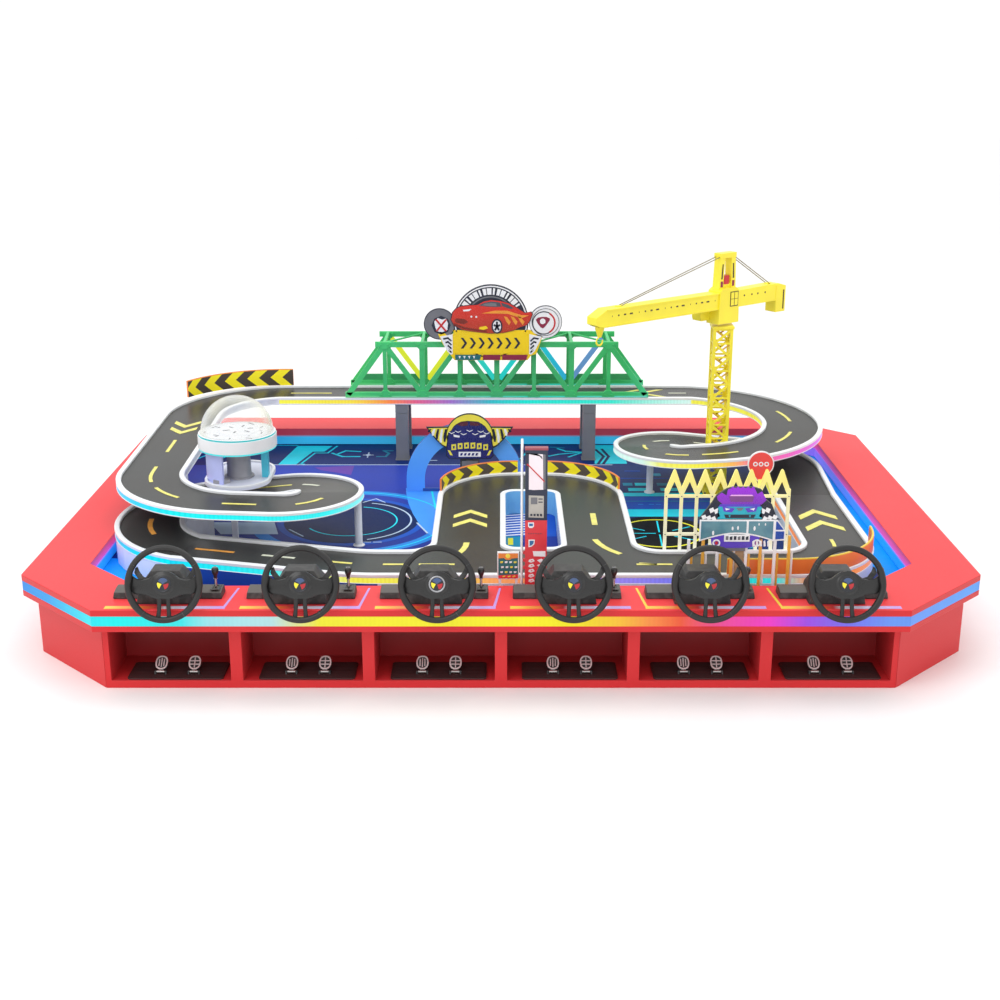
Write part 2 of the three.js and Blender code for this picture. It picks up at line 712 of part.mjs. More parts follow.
// The slewing part lies along its own X, with the jib towards +X.
function craneJib() {
  const { head, jib, reach, tail } = CRANE;
  const half = 38;
  const profile = outline([
    [-tail, jib + 30], [-tail + 50, jib + half + 6], [-60, jib + half], [reach - 60, jib + half],
    [reach, jib + 8], [reach, jib - 24], [reach - 30, jib - half], [60, jib - half],
    [60, head], [-60, head], [-60, jib - half], [-tail + 66, jib - half + 6],
    [-tail + 66, 1074], [-tail, 1074],
  ]);
  const boom = board(profile, -30, 30);
  const cab = block([24, 124], [-74, -20], [head + 14, head + 96]);
  const tower = [-1, 1].map((side) =>
    bar([side * 42, 0, jib + 30], [side * 34, 0, 1372], 16, 40),
  );
  const crown = block([-50, 50], [-22, 22], [1356, 1378]);
  const panel = block([-40, 40], [-10, 10], [1236, 1276]);
  const stays = [
    bar([reach - 150, 0, jib + half - 3], [34, 0, 1366], 5),
    bar([-tail + 90, 0, jib + half - 3], [-34, 0, 1366], 5),
  ];
  const under = jib - half + 4;
  const pulley = turned([[0, 1080], [9, 1080], [20, 1110], [20, under], [0, under]], 10);
  const hook = new THREE.Shape();
  hook.absarc(0, 1064, 22, rad(-200), rad(60), false);
  hook.absarc(0, 1064, 13, rad(60), rad(-200), true);
  const eye = block([-4, 14], [-4, 4], [1074, 1090]);
  const hanging = join(pulley, eye, board(hook, -4, 4, 6));
  return join(boom, cab, ...tower, crown, panel, ...stays, hanging.translate([reach - 46, 0, 0]));
}

// ---- the domed tower ----
function domeTower() {
  const { x, y, deck, ring, rim, radius } = DOME;
  const platform = new THREE.Shape();
  const half = 140;
  platform.absarc(x, -315, half, rad(180), rad(360), false);
  platform.absarc(x, -185, half, 0, rad(180), false);
  const plate = slab(platform, deck, deck + 12, 8);
  const post = 12;
  const legs = [[x, -441], [x - 40, -62], [x + 40, -62]].map(([px, py]) =>
    block([px - post, px + post], [py - post, py + post], [FLOOR, deck + 6]),
  );
  const column = cylinder(52, deck + 6, ring + 4, x, y, 14);
  const wall = curvedWall(x, y, 138, 150, 250, deck + 6, ring + 4, 12);
  const pillar = block([x + 100, x + 128], [y - 20, y + 20], [deck + 6, ring + 4]);
  const drum = turned([[0, ring], [radius, ring], [radius, rim - 6], [radius - 6, rim], [0, rim]], 28);
  return join(plate, ...legs, column, wall, pillar, drum.translate([x, y, 0]));
}

// A hollow glass cap, open below.
function domeGlass() {
  const steps = 5;
  const wall = 4;
  const outer = [];
  const inner = [];
  for (let i = 0; i <= steps; i++) {
    const angle = rad((90 * i) / steps);
    outer.push([DOME.glass * Math.cos(angle), DOME.glass * Math.sin(angle)]);
    inner.push([(DOME.glass - wall) * Math.cos(angle), (DOME.glass - wall) * Math.sin(angle)]);
  }
  outer[steps][0] = 0;
  inner[steps][0] = 0;
  const cap = turned([[0, 0], ...outer], 20);
  const hollow = turned([[0, 0], ...inner], 20).translate([0, 0, -0.5]);
  return cut(cap, hollow).translate([DOME.x, DOME.y, DOME.rim + GAP]);
}

// ---- the signs ----
// A winged badge on a stand, in front of a blue half-ring that stands on the floor.
function badgeSign() {
  const arch = new THREE.Shape();
  const centre = -172;
  arch.moveTo(centre + 277, FLOOR);
  arch.lineTo(centre + 277, 300);
  arch.absarc(centre, 300, 277, 0, rad(180), false);
  arch.lineTo(centre - 277, FLOOR);
  arch.lineTo(centre - 150, FLOOR);
  arch.lineTo(centre - 150, 300);
  arch.absarc(centre, 300, 150, rad(180), 0, true);
  arch.lineTo(centre + 150, FLOOR);
  const x = -147;
  const badge = outline([
    [x - 204, 582], [x - 112, 575], [x - 96, 604], [x - 52, 622], [x, 628], [x + 52, 622],
    [x + 96, 604], [x + 112, 575], [x + 204, 582], [x + 150, 510], [x + 110, 484],
    [x + 112, 430], [x + 60, 420], [x - 60, 420], [x - 112, 430], [x - 110, 484], [x - 150, 510],
  ]);
  const stand = block([x - 44, x + 44], [306, 330], [FLOOR, 430]);
  const rail = block([centre - 160, centre + 160], [322, 334], [FLOOR, FLOOR + 14]);
  return join(board(arch, 324, 344, 12), board(badge, 296, 312), stand, rail);
}

// A pump-like kiosk, a white flag pole and a notice board on one foot rail.
function pumpTower() {
  const y = [-1131, -1101];
  const body = block([90, 172], y, [FLOOR, 865]);
  const windows = [[735, 850], [622, 712]].map(([low, high]) =>
    block([101, 161], [y[0] - 1, y[0] + 3], [low, high]),
  );
  const pole = cylinder(5, FLOOR, 898, 78, -1116, 10);
  const notice = block([-14, 68], [-1122, -1110], [348, 456]);
  const legs = [-4, 58].map((x) => block([x - 5, x + 5], [-1121, -1111], [FLOOR, 350]));
  const rail = block([-10, 100], [-1121, -1111], [FLOOR, FLOOR + 12]);
  return join(cut(body, ...windows), pole, notice, ...legs, rail);
}

const FENCE = { left: 654, pitch: 60.6, bays: 8, y: -790, spring: 600, tip: 684 };

// Uprights joined by pointed arches and two rails, with a round pin marker behind.
function picketFence() {
  const { left, pitch, bays, y, spring, tip } = FENCE;
  const parts = [];
  for (let i = 0; i <= bays; i++) {
    const x = left + i * pitch;
    parts.push(block([x - 6, x + 6], [y - 5, y + 5], [FLOOR, spring]));
    if (i === bays) continue;
    const peak = [x + pitch / 2, y, tip - 6];
    parts.push(bar([x, y, spring - 6], peak, 10, 11));
    parts.push(bar([x + pitch, y, spring - 6], peak, 10, 11));
  }
  const right = left + bays * pitch;
  for (const z of [414, 573]) parts.push(block([left, right], [y - 4, y + 4], [z - 6, z + 6]));
  const pinX = left + 6.5 * pitch;
  const pin = new THREE.Shape();
  pin.moveTo(pinX, 608);
  pin.lineTo(pinX + 52 * Math.cos(rad(-32)), 690 + 52 * Math.sin(rad(-32)));
  pin.absarc(pinX, 690, 52, rad(-32), rad(212), false);
  const marker = board(pin, y + 8, y + 18, 12);
  const stub = block([pinX - 8, pinX + 8], [y - 2, y + 12], [565, 640]);
  return join(...parts, marker, stub);
}

// A cut-out car on a framed panel, standing on short pickets.
function carBillboard() {
  const x = 888;
  const y = [-1122, -1108];
  const car = outline([
    [x - 142, 497], [x + 142, 497], [x + 142, 582], [x + 158, 582], [x + 118, 640],
    [x + 100, 668], [x + 62, 700], [x - 62, 700], [x - 100, 668], [x - 118, 640],
    [x - 158, 582], [x - 142, 582],
  ]);
  const parts = [board(car, ...y), block([x - 16, x + 16], y, [FLOOR, 510])];
  for (let i = 0; i < 8; i++) {
    const px = 706 + i * 54;
    if (Math.abs(px - x) < 20) continue;
    parts.push(block([px - 5, px + 5], [-1120, -1110], [FLOOR, i < 6 ? 505 : 520]));
  }
  parts.push(block([702, 1088], [-1120, -1110], [FLOOR, FLOOR + 14]));
  parts.push(block([702, 1088], [-1120, -1110], [452, 464]));
  return join(...parts);
}

// ---- the assembly ----
piece("front_cabinet", frontCabinet(), RED);
piece("plinth", plinth(), RED);
piece("playfield_floor", playfieldFloor(), NAVY);
piece("countertop", countertop(), RED);
piece("edge_led_strip", edgeLedStrip(), LIGHT);
piece("service_door", serviceDoor(), DARK_RED);
piece("control_box", controlBox(), STEEL);

const wheelBody = steeringWheel();
const baseBody = wheelBase();
const leverBody = gearLever();
const pedalBody = pedal();
const pedalBaseBody = pedalBase();
for (let i = 0; i < BAYS; i++) {
  const x = stationCentre(i);
  const n = i + 1;
  piece(`wheel_base_${n}`, baseBody, BLACK, placed(x, 0, 0));
  const wheelPlace = placed(x + WHEEL.dx, WHEEL.y, WHEEL.z, WHEEL.tilt);
  piece(`steering_wheel_${n}`, wheelBody, BLACK, wheelPlace);
  piece(`gear_lever_${n}`, leverBody, BLACK, placed(x + LEVER.dx, LEVER.y, LEVER.z));
  const middle = bayCentre(i) + PEDAL.shift;
  piece(`pedal_base_${n}`, pedalBaseBody, BLACK, placed(middle, 0, 0));
  for (const [name, side] of [["brake_pedal", -1], ["accelerator_pedal", 1]]) {
    const px = middle + (side * PEDAL.spacing) / 2;
    const pedalPlace = placed(px, PEDAL.y, PEDAL.z, -PEDAL.lean);
    piece(`${name}_${n}`, pedalBody, STEEL, pedalPlace);
  }
}

piece("back_deck", backDeck(), ASPHALT);
piece("left_spiral", leftSpiral(), ASPHALT);
piece("right_spiral", rightSpiral(), ASPHALT);
piece("front_left_road", frontLeftRoad(), ASPHALT);
piece("hairpin_road", hairpinRoad(), ASPHALT);
piece("front_right_road", frontRightRoad(), ASPHALT);

piece("bridge_front_truss", truss(BRIDGE.y - BRIDGE.half, trussFoot), GREEN);
piece("bridge_back_truss", backTruss(), GREEN);
piece("bridge_sign", bridgeSign(), WHITE);

piece("crane_mast", craneMast(), YELLOW);
piece("crane_jib", craneJib(), YELLOW, placed(CRANE.x, CRANE.y, 0, 0, CRANE.turn));

piece("dome_tower", domeTower(), WHITE);
piece("dome_glass", domeGlass(), GLASS);
piece("badge_sign", badgeSign(), BLUE);
piece("pump_tower", pumpTower(), DARK_RED);
piece("picket_fence", picketFence(), YELLOW);
piece("car_billboard", carBillboard(), PURPLE);

export default root;
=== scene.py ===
"""Looks of a six-player racing table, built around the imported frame.

Lengths are in millimetres until a piece is made, and then in metres.
"""
import math

import bmesh
import bpy
from mathutils import Matrix, Vector
from mathutils.geometry import tessellate_polygon


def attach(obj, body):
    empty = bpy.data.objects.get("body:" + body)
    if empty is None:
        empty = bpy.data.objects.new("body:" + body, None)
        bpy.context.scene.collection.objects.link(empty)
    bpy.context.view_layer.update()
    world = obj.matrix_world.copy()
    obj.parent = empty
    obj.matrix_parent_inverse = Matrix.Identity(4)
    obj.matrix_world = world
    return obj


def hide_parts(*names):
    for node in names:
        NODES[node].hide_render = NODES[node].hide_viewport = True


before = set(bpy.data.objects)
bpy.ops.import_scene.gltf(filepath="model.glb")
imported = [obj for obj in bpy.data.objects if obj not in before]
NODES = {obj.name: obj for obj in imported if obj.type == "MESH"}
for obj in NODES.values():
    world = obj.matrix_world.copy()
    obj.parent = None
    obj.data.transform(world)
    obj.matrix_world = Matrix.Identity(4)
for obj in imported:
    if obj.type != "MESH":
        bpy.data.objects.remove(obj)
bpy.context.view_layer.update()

MM = 0.001
FLOOR = 244.3
TABLE = "table"
IDENTITY = Matrix.Identity(4)
BOX_FACES = [(0, 1, 3, 2), (4, 6, 7, 5), (0, 4, 5, 1), (2, 3, 7, 6), (0, 2, 6, 4), (1, 5, 7, 3)]
UPRIGHT = Matrix(((1, 0, 0, 0), (0, 0, -1, 0), (0, 1, 0, 0), (0, 0, 0, 1)))


def rad(degrees):
    return math.radians(degrees)


def spun(angle, axis):
    return Matrix.Rotation(rad(angle), 4, axis)


def at(x=0, y=0, z=0, turn=0, tilt=0):
    """A place: tilted about X, then turned about Z, then moved."""
    move = Matrix.Translation((x, y, z))
    return move @ spun(turn, "Z") @ spun(tilt, "X")


# ---- materials ----
DIODE_PITCH = 0.0166


class Finish:
    """A procedural material while it is put together."""

    def __init__(self, name):
        self.material = bpy.data.materials.new(name)
        self.material.use_nodes = True
        self.tree = self.material.node_tree
        self.shader = self.tree.nodes["Principled BSDF"]
        self.place = self.node("ShaderNodeTexCoord").outputs["Object"]

    def put(self, value, socket):
        if isinstance(value, bpy.types.NodeSocket):
            self.tree.links.new(value, socket)
        else:
            socket.default_value = value

    def node(self, kind, sockets=(), **settings):
        made = self.tree.nodes.new(kind)
        for key, value in settings.items():
            setattr(made, key, value)
        for key, value in dict(sockets).items():
            self.put(value, made.inputs[key])
        return made

    def sets(self, **sockets):
        for key, value in sockets.items():
            self.put(value, self.shader.inputs[key.replace("_", " ")])

    def math(self, operation, *values):
        return self.node("ShaderNodeMath", enumerate(values), operation=operation).outputs[0]

    def mix(self, factor, first, second):
        sockets = {0: factor, 6: rgba(first), 7: rgba(second)}
        return self.node("ShaderNodeMix", sockets, data_type="RGBA").outputs[2]

    def xyz(self, vector=None):
        made = self.node("ShaderNodeSeparateXYZ", {0: vector or self.place})
        return made.outputs[0], made.outputs[1], made.outputs[2]

    def run(self):
        """Distance along, across and up from the middle line that a piece was swept on."""
        made = self.node("ShaderNodeAttribute", attribute_name="run")
        return self.xyz(made.outputs["Vector"])

    def noise(self, scale, detail=3.0):
        sockets = {"Vector": self.place, "Scale": scale, "Detail": detail}
        return self.node("ShaderNodeTexNoise", sockets).outputs[0]

    def spread(self, value, low, high, to_low=0.0, to_high=1.0):
        sockets = {0: value, 1: low, 2: high, 3: to_low, 4: to_high}
        return self.node("ShaderNodeMapRange", sockets, clamp=True).outputs[0]

    def ramp(self, value, stops):
        made = self.node("ShaderNodeValToRGB", {0: value})
        band = made.color_ramp
        while len(band.elements) < len(stops):
            band.elements.new(0.5)
        for element, (position, color) in zip(band.elements, stops):
            element.position = position
            element.color = rgba(color)
        return made.outputs[0]


def rgba(color):
    if isinstance(color, bpy.types.NodeSocket) or len(color) == 4:
        return color
    return (*color, 1.0)


def linear(code):
    """A linear colour from the usual hexadecimal one."""
    parts = [int(code[i : i + 2], 16) / 255 for i in (0, 2, 4)]
    return tuple(c / 12.92 if c <= 0.04045 else ((c + 0.055) / 1.055) ** 2.4 for c in parts)


def finish(name, color, rough=0.4, metal=0.0, vary=0.06, patch=5.0, grain=260.0, relief=0.06,
           wear=0.0, worn=None, crease_shade=0.0, **sockets):
    """A finish with colour variation, grain in its gloss and surface, worn edges and painted shade in its
    corners.
    """
    f = Finish(name)
    base = color(f) if callable(color) else linear(color) if isinstance(color, str) else color
    cloud = f.noise(patch, 5.0)
    value = f.spread(cloud, 0.3, 0.7, 1 - vary, 1 + vary)
    shade = f.node("ShaderNodeHueSaturation", {"Color": rgba(base), "Value": value}).outputs[0]
    edge = f.node("ShaderNodeNewGeometry").outputs["Pointiness"]
    if wear:
        mask = f.math("MULTIPLY", f.spread(edge, 0.52, 0.6, 0, wear), f.spread(f.noise(38.0), 0.42, 0.62))
        shade = f.mix(mask, shade, worn or (0.75, 0.75, 0.75))
    # Painted shade: concave corners and creases darken towards near black.
    if crease_shade:
        mask = f.math("MULTIPLY", f.spread(edge, 0.5, 0.42, 0, crease_shade), f.spread(f.noise(21.0), 0.3, 0.6))
        shade = f.mix(mask, shade, (0.03, 0.028, 0.025))
    fine = f.noise(grain, 2.0)
    gloss = f.math("ADD", f.spread(fine, 0.3, 0.7, -0.05, 0.05),
                   f.spread(cloud, 0.3, 0.7, rough, rough + 0.07))
    bump = f.node("ShaderNodeBump", {"Strength": relief, "Distance": 0.0006, "Height": fine})
    f.sets(Base_Color=shade, Roughness=gloss, Metallic=metal, Normal=bump.outputs[0], **sockets)
    return f.material


def finishes(*rows):
    """Plain finishes, each given as (name, colour, roughness, variation, patch size)."""
    return [finish(name, color, rough=rough, vary=vary, patch=patch) for name, color, rough, vary,
            patch in rows]


def glow(name, color, strength=1.0, spots=0.0, rough=0.35):
    """A lit diffuser: its light varies a little, with faint brighter spots where its diodes sit."""
    f = Finish(name)
    base = color(f) if callable(color) else linear(color)
    level = f.spread(f.noise(12.0), 0.3, 0.7, 0.97, 1.03)
    if spots:
        x, y, _ = f.xyz()
        beat = f.math("SINE", f.math("MULTIPLY", f.math("ADD", x, y), 2 * math.pi / DIODE_PITCH))
        level = f.math("ADD", level, f.math("MULTIPLY", beat, spots))
    lit = f.node("ShaderNodeHueSaturation", {"Color": rgba(base), "Value": level}).outputs[0]
    bump = f.node("ShaderNodeBump", {"Strength": 0.05, "Distance": 0.0004, "Height": f.noise(300.0)})
    body = f.mix(0.7, lit, (0.0, 0.0, 0.0))
    f.sets(Base_Color=body, Emission_Color=lit, Emission_Strength=strength, Roughness=rough,
           Specular_IOR_Level=0.2, Normal=bump.outputs[0])
    return f.material


def by_x(stops, low, high):
    """Colours set out along X, given as (millimetres, colour code)."""

    def color(f):
        part = f.spread(f.xyz()[0], low * MM, high * MM)
        return f.ramp(part, [((x - low) / (high - low), linear(code)) for x, code in stops])

    return color


# ---- shapes ----
class Form:
    """Points and faces in millimetres, with a material index for each face."""

    def __init__(self):
        self.points, self.faces, self.kinds, self.runs = [], [], [], []

    def add(self, points, faces, kind=0, place=IDENTITY, runs=None):
        base = len(self.points)
        self.points += [place @ Vector(p) for p in points]
        self.faces += [[base + i for i in face] for face in faces]
        self.kinds += kind if isinstance(kind, list) else [kind] * len(faces)
        self.runs += runs or [(p[0], p[1], p[2]) for p in points]
        return self

    def box(self, x, y, z, kind=0, place=IDENTITY):
        points = [(i, j, k) for i in x for j in y for k in z]
        return self.add(points, BOX_FACES, kind, place)

    def prism(self, outline, low, high, kind=0, place=IDENTITY, side=None):
        """An outline in X and Y, listed counter-clockwise, drawn out along Z."""
        n = len(outline)
        points = [(x, y, z) for z in (low, high) for x, y in outline]
        faces = [tuple(range(n))[::-1], tuple(range(n, 2 * n))]
        faces += [(i, (i + 1) % n, n + (i + 1) % n, n + i) for i in range(n)]
        return self.add(points, faces, [kind, kind] + [kind if side is None else side] * n, place)

    def board(self, outline, front, back, kind=0, place=IDENTITY, side=None):
        """An outline in X and Z drawn out along Y."""
        return self.prism(outline, -back, -front, kind, place @ UPRIGHT, side)

    def lathe(self, profile, sides=32, kind=0, place=IDENTITY, closed=False, span=360):
        """A profile of radius and height, listed upwards, turned about Z."""
        points, rings = [], []
        steps = sides if span == 360 else sides + 1
        for radius, height in profile:
            if radius < 1e-6:
                rings.append([len(points)] * steps)
                points.append((0, 0, height))
                continue
            rings.append(list(range(len(points), len(points) + steps)))
            for i in range(steps):
                angle = rad(span * i / sides)
                points.append((radius * math.cos(angle), radius * math.sin(angle), height))
        faces = []
        pairs = list(zip(rings, rings[1:] + rings[:1]))
        for low, high in pairs if closed else pairs[:-1]:
            for i in range(sides):
                j = (i + 1) % steps
                face = [low[i], low[j], high[j], high[i]]
                face = [p for k, p in enumerate(face) if p not in face[:k]]
                if len(face) > 2:
                    faces.append(face)
        if span != 360:
            faces.append([r[0] for r in rings])
            faces.append([r[-1] for r in rings][::-1])
        return self.add(points, faces, kind, place)

    def tube(self, path, radius, sides=10, kind=0, place=IDENTITY, closed=False, up=(0, 0, 1), flat=1.0):
        """A round bar along a path; radius may be a list, and flat squeezes it along its up direction."""
        path = [Vector(p) for p in path]
        n = len(path)
        radii = radius if isinstance(radius, list) else [radius] * n
        up = Vector(up)
        points = []
        for i, p in enumerate(path):
            after = path[(i + 1) % n] if closed or i + 1 < n else p
            before = path[i - 1] if closed or i else p
            along = (after - before).normalized()
            across = along.cross(up).normalized()
            rise = across.cross(along)
            for k in range(sides):
                angle = 2 * math.pi * k / sides
                points.append(p + (across * math.cos(angle) + rise * flat * math.sin(angle)) * radii[i])
        faces = []
        for i in range(n if closed else n - 1):
            for k in range(sides):
                a, b = i * sides + k, i * sides + (k + 1) % sides
                shift = sides if i + 1 < n else -i * sides
                faces.append((a, b, b + shift, a + shift))
        if not closed:
            faces.append(tuple(range(sides))[::-1])
            faces.append(tuple(range((n - 1) * sides, n * sides)))
        return self.add(points, faces, kind, place)

    def sweep(self, marks, section, kinds, height, ends=0):
        """A section of (across, up) pairs carried along a road's middle line."""
        n = len(section)
        points, runs, faces, each = [], [], [], []
        for x, y, angle, s in marks:
            left = Vector((-math.sin(rad(angle)), math.cos(rad(angle)), 0))
            z = height(s) if callable(height) else height
            for across, up in section:
                points.append(Vector((x, y, z + up)) + left * across)
                runs.append((s, across, up))
        for i in range(len(marks) - 1):
            for j in range(n):
                a, b = i * n + j, i * n + (j + 1) % n
                faces.append((a, b, b + n, a + n))
                each.append(kinds[j])
        faces += [tuple(range(n))[::-1], tuple(range(len(points) - n, len(points)))]
        return self.add(points, faces, each + [ends, ends], runs=runs)

    def rings(self, outline, levels, kinds, gaps=(), holes=(), top=0):
        """Outlines at (inset, height) levels joined into walls, with the last one closed by a top."""
        base = [outline(inset) for inset, _ in levels]
        n = len(base[0])
        points = [(x, y, z) for ring, (_, z) in zip(base, levels) for x, y in ring]
        faces, each = [], []
        for k in range(len(levels) - 1):
            for i in range(n):
                if i in gaps:
                    continue
                a, b = k * n + i, k * n + (i + 1) % n
                faces.append((a, b, b + n, a + n))
                each.append(kinds[k])
        for i in gaps:
            j = (i + 1) % n
            count = len(levels)
            faces.append([k * n + i for k in range(count)][::-1] + [k * n + j for k in range(count)])
            each.append(kinds[0])
        last = [Vector((x, y, levels[-1][1])) for x, y in base[-1]]
        start = (len(levels) - 1) * n
        hole_rings = [[Vector((x, y, levels[-1][1])) for x, y in hole] for hole in holes]
        lookup = list(range(start, start + n))
        for ring in hole_rings:
            lookup += range(len(points), len(points) + len(ring))
            points += [tuple(p) for p in ring]
        for triangle in tessellate_polygon([last, *hole_rings]):
            face = [lookup[i] for i in triangle]
            p, q, r = (Vector(points[i]) for i in face)
            faces.append(face if (q - p).cross(r - p).z > 0 else face[::-1])
            each.append(top)
        return self.add(points, faces, each)

    def make(self, name, materials, body=TABLE, slot=None, replaces=(), bevel=0.0, smooth=35,
             place=IDENTITY):
        """The finished piece, riding on its body."""
        mesh = bpy.data.meshes.new(name)
        mesh.from_pydata([place @ p * MM for p in self.points], [], self.faces)
        for material in materials:
            mesh.materials.append(material)
        mesh.polygons.foreach_set("material_index", self.kinds)
        runs = mesh.attributes.new("run", "FLOAT_VECTOR", "POINT")
        runs.data.foreach_set("vector", [c * MM for run in self.runs for c in run])
        return place_piece(name, mesh, body, replaces, bevel, smooth)


def place_piece(name, mesh, body, replaces, bevel, smooth=35):
    mesh.validate()
    mesh.polygons.foreach_set("use_smooth", [True] * len(mesh.polygons))
    mesh.set_sharp_from_angle(angle=rad(smooth))
    piece = bpy.data.objects.new(name, mesh)
    bpy.context.scene.collection.objects.link(piece)
    if bevel:
        rounding = piece.modifiers.new("Rounding", "BEVEL")
        rounding.width = bevel * MM
        rounding.segments = 2
        rounding.limit_method = "ANGLE"
        rounding.angle_limit = rad(35)
        rounding.harden_normals = True
    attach(piece, body)
    if replaces:
        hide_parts(*([replaces] if isinstance(replaces, str) else replaces))
    return piece


def twin(node, name, materials, pick=None, bevel=1.5, body=TABLE):
    """A CAD solid with rounded edges and a material for each kind of face."""
    mesh = NODES[node].data.copy()
    work = bmesh.new()
    work.from_mesh(mesh)
    bmesh.ops.remove_doubles(work, verts=work.verts, dist=0.02 * MM)
    bmesh.ops.dissolve_limit(work, angle_limit=rad(0.6), verts=work.verts, edges=work.edges)
    mesh.materials.clear()
    for material in materials:
        mesh.materials.append(material)
    for face in work.faces:
        face.material_index = pick(face.calc_center_median() / MM, face.normal) if pick else 0
    work.to_mesh(mesh)
    work.free()
    return place_piece(name, mesh, body, node, bevel)


def arc(x, y, radius, start, end, steps=24):
    return [
        (x + radius * math.cos(rad(start + (end - start) * i / steps)),
         y + radius * math.sin(rad(start + (end - start) * i / steps)))
        for i in range(steps + 1)
    ]


def rect(x0, x1, y0, y1):
    return [(x0, y0), (x1, y0), (x1, y1), (x0, y1)]


def circle(x, y, radius, sides=40):
    return arc(x, y, radius, 0, 360, sides)[:-1]


# ---- roads' middle lines ----
def walk(start, heading, runs, bend=4.5, stretch=90):
    """Marks (x, y, heading, distance) along straights (length,) and bends (radius, turn)."""
    x, y = start
    angle, travelled = heading, 0.0
    marks = [(x, y, angle, travelled)]
    for run in runs:
        if len(run) == 1:
            parts = max(1, math.ceil(run[0] / stretch))
            for _ in range(parts):
                x += run[0] / parts * math.cos(rad(angle))
                y += run[0] / parts * math.sin(rad(angle))
                travelled += run[0] / parts
                marks.append((x, y, angle, travelled))
            continue
        radius, turn = run
        side = math.copysign(1, turn)
        cx = x - side * radius * math.sin(rad(angle))
        cy = y + side * radius * math.cos(rad(angle))
        first, before = angle, travelled
        parts = max(1, math.ceil(abs(turn) / bend))
        for i in range(1, parts + 1):
            angle = first + turn * i / parts
            x = cx + side * radius * math.sin(rad(angle))
            y = cy - side * radius * math.cos(rad(angle))
            travelled = before + radius * rad(abs(turn)) * i / parts
            marks.append((x, y, angle, travelled))
    return marks


def run_length(run):
    return run[0] if len(run) == 1 else run[0] * rad(abs(run[1]))


class Road:
    """A middle line with a height along it."""

    def __init__(self, start, heading, runs, height):
        self.marks = walk(start, heading, runs)
        self.length = self.marks[-1][3]
        self.height = height if callable(height) else (lambda s: height)

    def at(self, s, across=0.0, up=0.0):
        s = min(max(s, 0.0), self.length)
        for a, b in zip(self.marks, self.marks[1:]):
            if s <= b[3] + 1e-6:
                break
        part = (s - a[3]) / (b[3] - a[3])
        x, y, angle = (a[i] + (b[i] - a[i]) * part for i in range(3))
        left = Vector((-math.sin(rad(angle)), math.cos(rad(angle)), 0))
        return Vector((x, y, self.height(s) + up)) + left * across


def falling(top, middle, bottom, to_middle, to_bottom):
    def height(s):
        if s < to_middle:
            return top + (middle - top) * s / to_middle
        return middle + (bottom - middle) * min(1.0, (s - to_middle) / (to_bottom - to_middle))

    return height


def spiral_road(start, heading, runs, tight, middle):
    to_middle = sum(run_length(r) for r in runs[:tight]) + run_length(runs[tight]) / 2
    total = sum(run_length(r) for r in runs)
    return Road(start, heading, runs, falling(DECK_TOP, middle, LOW_ROAD, to_middle, total))


HALF = 143.0
DECK = 25.0
DECK_TOP = 562.0
LOW_ROAD = 343.0
LEFT_RUNS = [(385, 90), (867,), (385, 90), (193,), (206, 180), (273,), (265, 165)]
RIGHT_RUNS = [(445, -180), (82,), (205, -180), (234,), (250, -90), (310,)]
left_road = spiral_road((-1120, 990), 180, LEFT_RUNS, 4, 478)
right_road = spiral_road((960, 990), 0, RIGHT_RUNS, 2, 470)
back_road = Road((-1120, 990), 0, [(2080,)], DECK_TOP)
low_start = (-1200 + 265 * math.cos(rad(255)), -500 + 265 * math.sin(rad(255)))
low_left = Road(low_start, -15, [(665,), (600, 15)], LOW_ROAD)
LOW_LEFT_END = low_left.marks[-1][0]
front_road = Road((LOW_LEFT_END, -948), 0, [(1112 - LOW_LEFT_END,), (250, 90), (648,)], LOW_ROAD)

# ---- camera, floor and light ----
camera = bpy.data.objects.new("Camera", bpy.data.cameras.new("Camera"))
bpy.context.scene.collection.objects.link(camera)
camera.location = (0, -6.208, 2.294)
camera.rotation_euler = (rad(72.22), 0, 0)
camera.data.lens = 51.7
camera.data.sensor_width = 36
camera.data.shift_x = -0.001
bpy.context.scene.camera = camera

world = bpy.data.worlds.new("Studio")
world.use_nodes = True
world.node_tree.nodes["Background"].inputs[0].default_value = (1.0, 1.0, 1.0, 1.0)
world.node_tree.nodes["Background"].inputs[1].default_value = 1.04
bpy.context.scene.world = world
bpy.context.scene.view_settings.view_transform = "Standard"


def lamp(name, place, aim, size, power, color=(1, 1, 1)):
    light = bpy.data.lights.new(name, "AREA")
    light.size, light.energy, light.color = size, power, color
    holder = bpy.data.objects.new(name, light)
    bpy.context.scene.collection.objects.link(holder)
    holder.location = place
    holder.rotation_euler = (Vector(aim) - Vector(place)).to_track_quat("-Z", "Y").to_euler()


lamp("Key", (-3.5, -4.0, 5.5), (0, 0, 0.3), 3.5, 110)
lamp("Top", (0.6, 0.8, 5.0), (0, 0, 0.3), 4.5, 60)

ground = Form().box((-30000, 30000), (-30000, 30000), (-20, 0))
ground_mesh = bpy.data.meshes.new("ground")
ground_mesh.from_pydata([p * MM for p in ground.points], [], ground.faces)
ground_mesh.materials.append(finish("pale_floor", (0.975, 0.975, 0.975), rough=0.7, vary=0.01, relief=0.01))
ground_piece = bpy.data.objects.new("ground", ground_mesh)
bpy.context.scene.collection.objects.link(ground_piece)

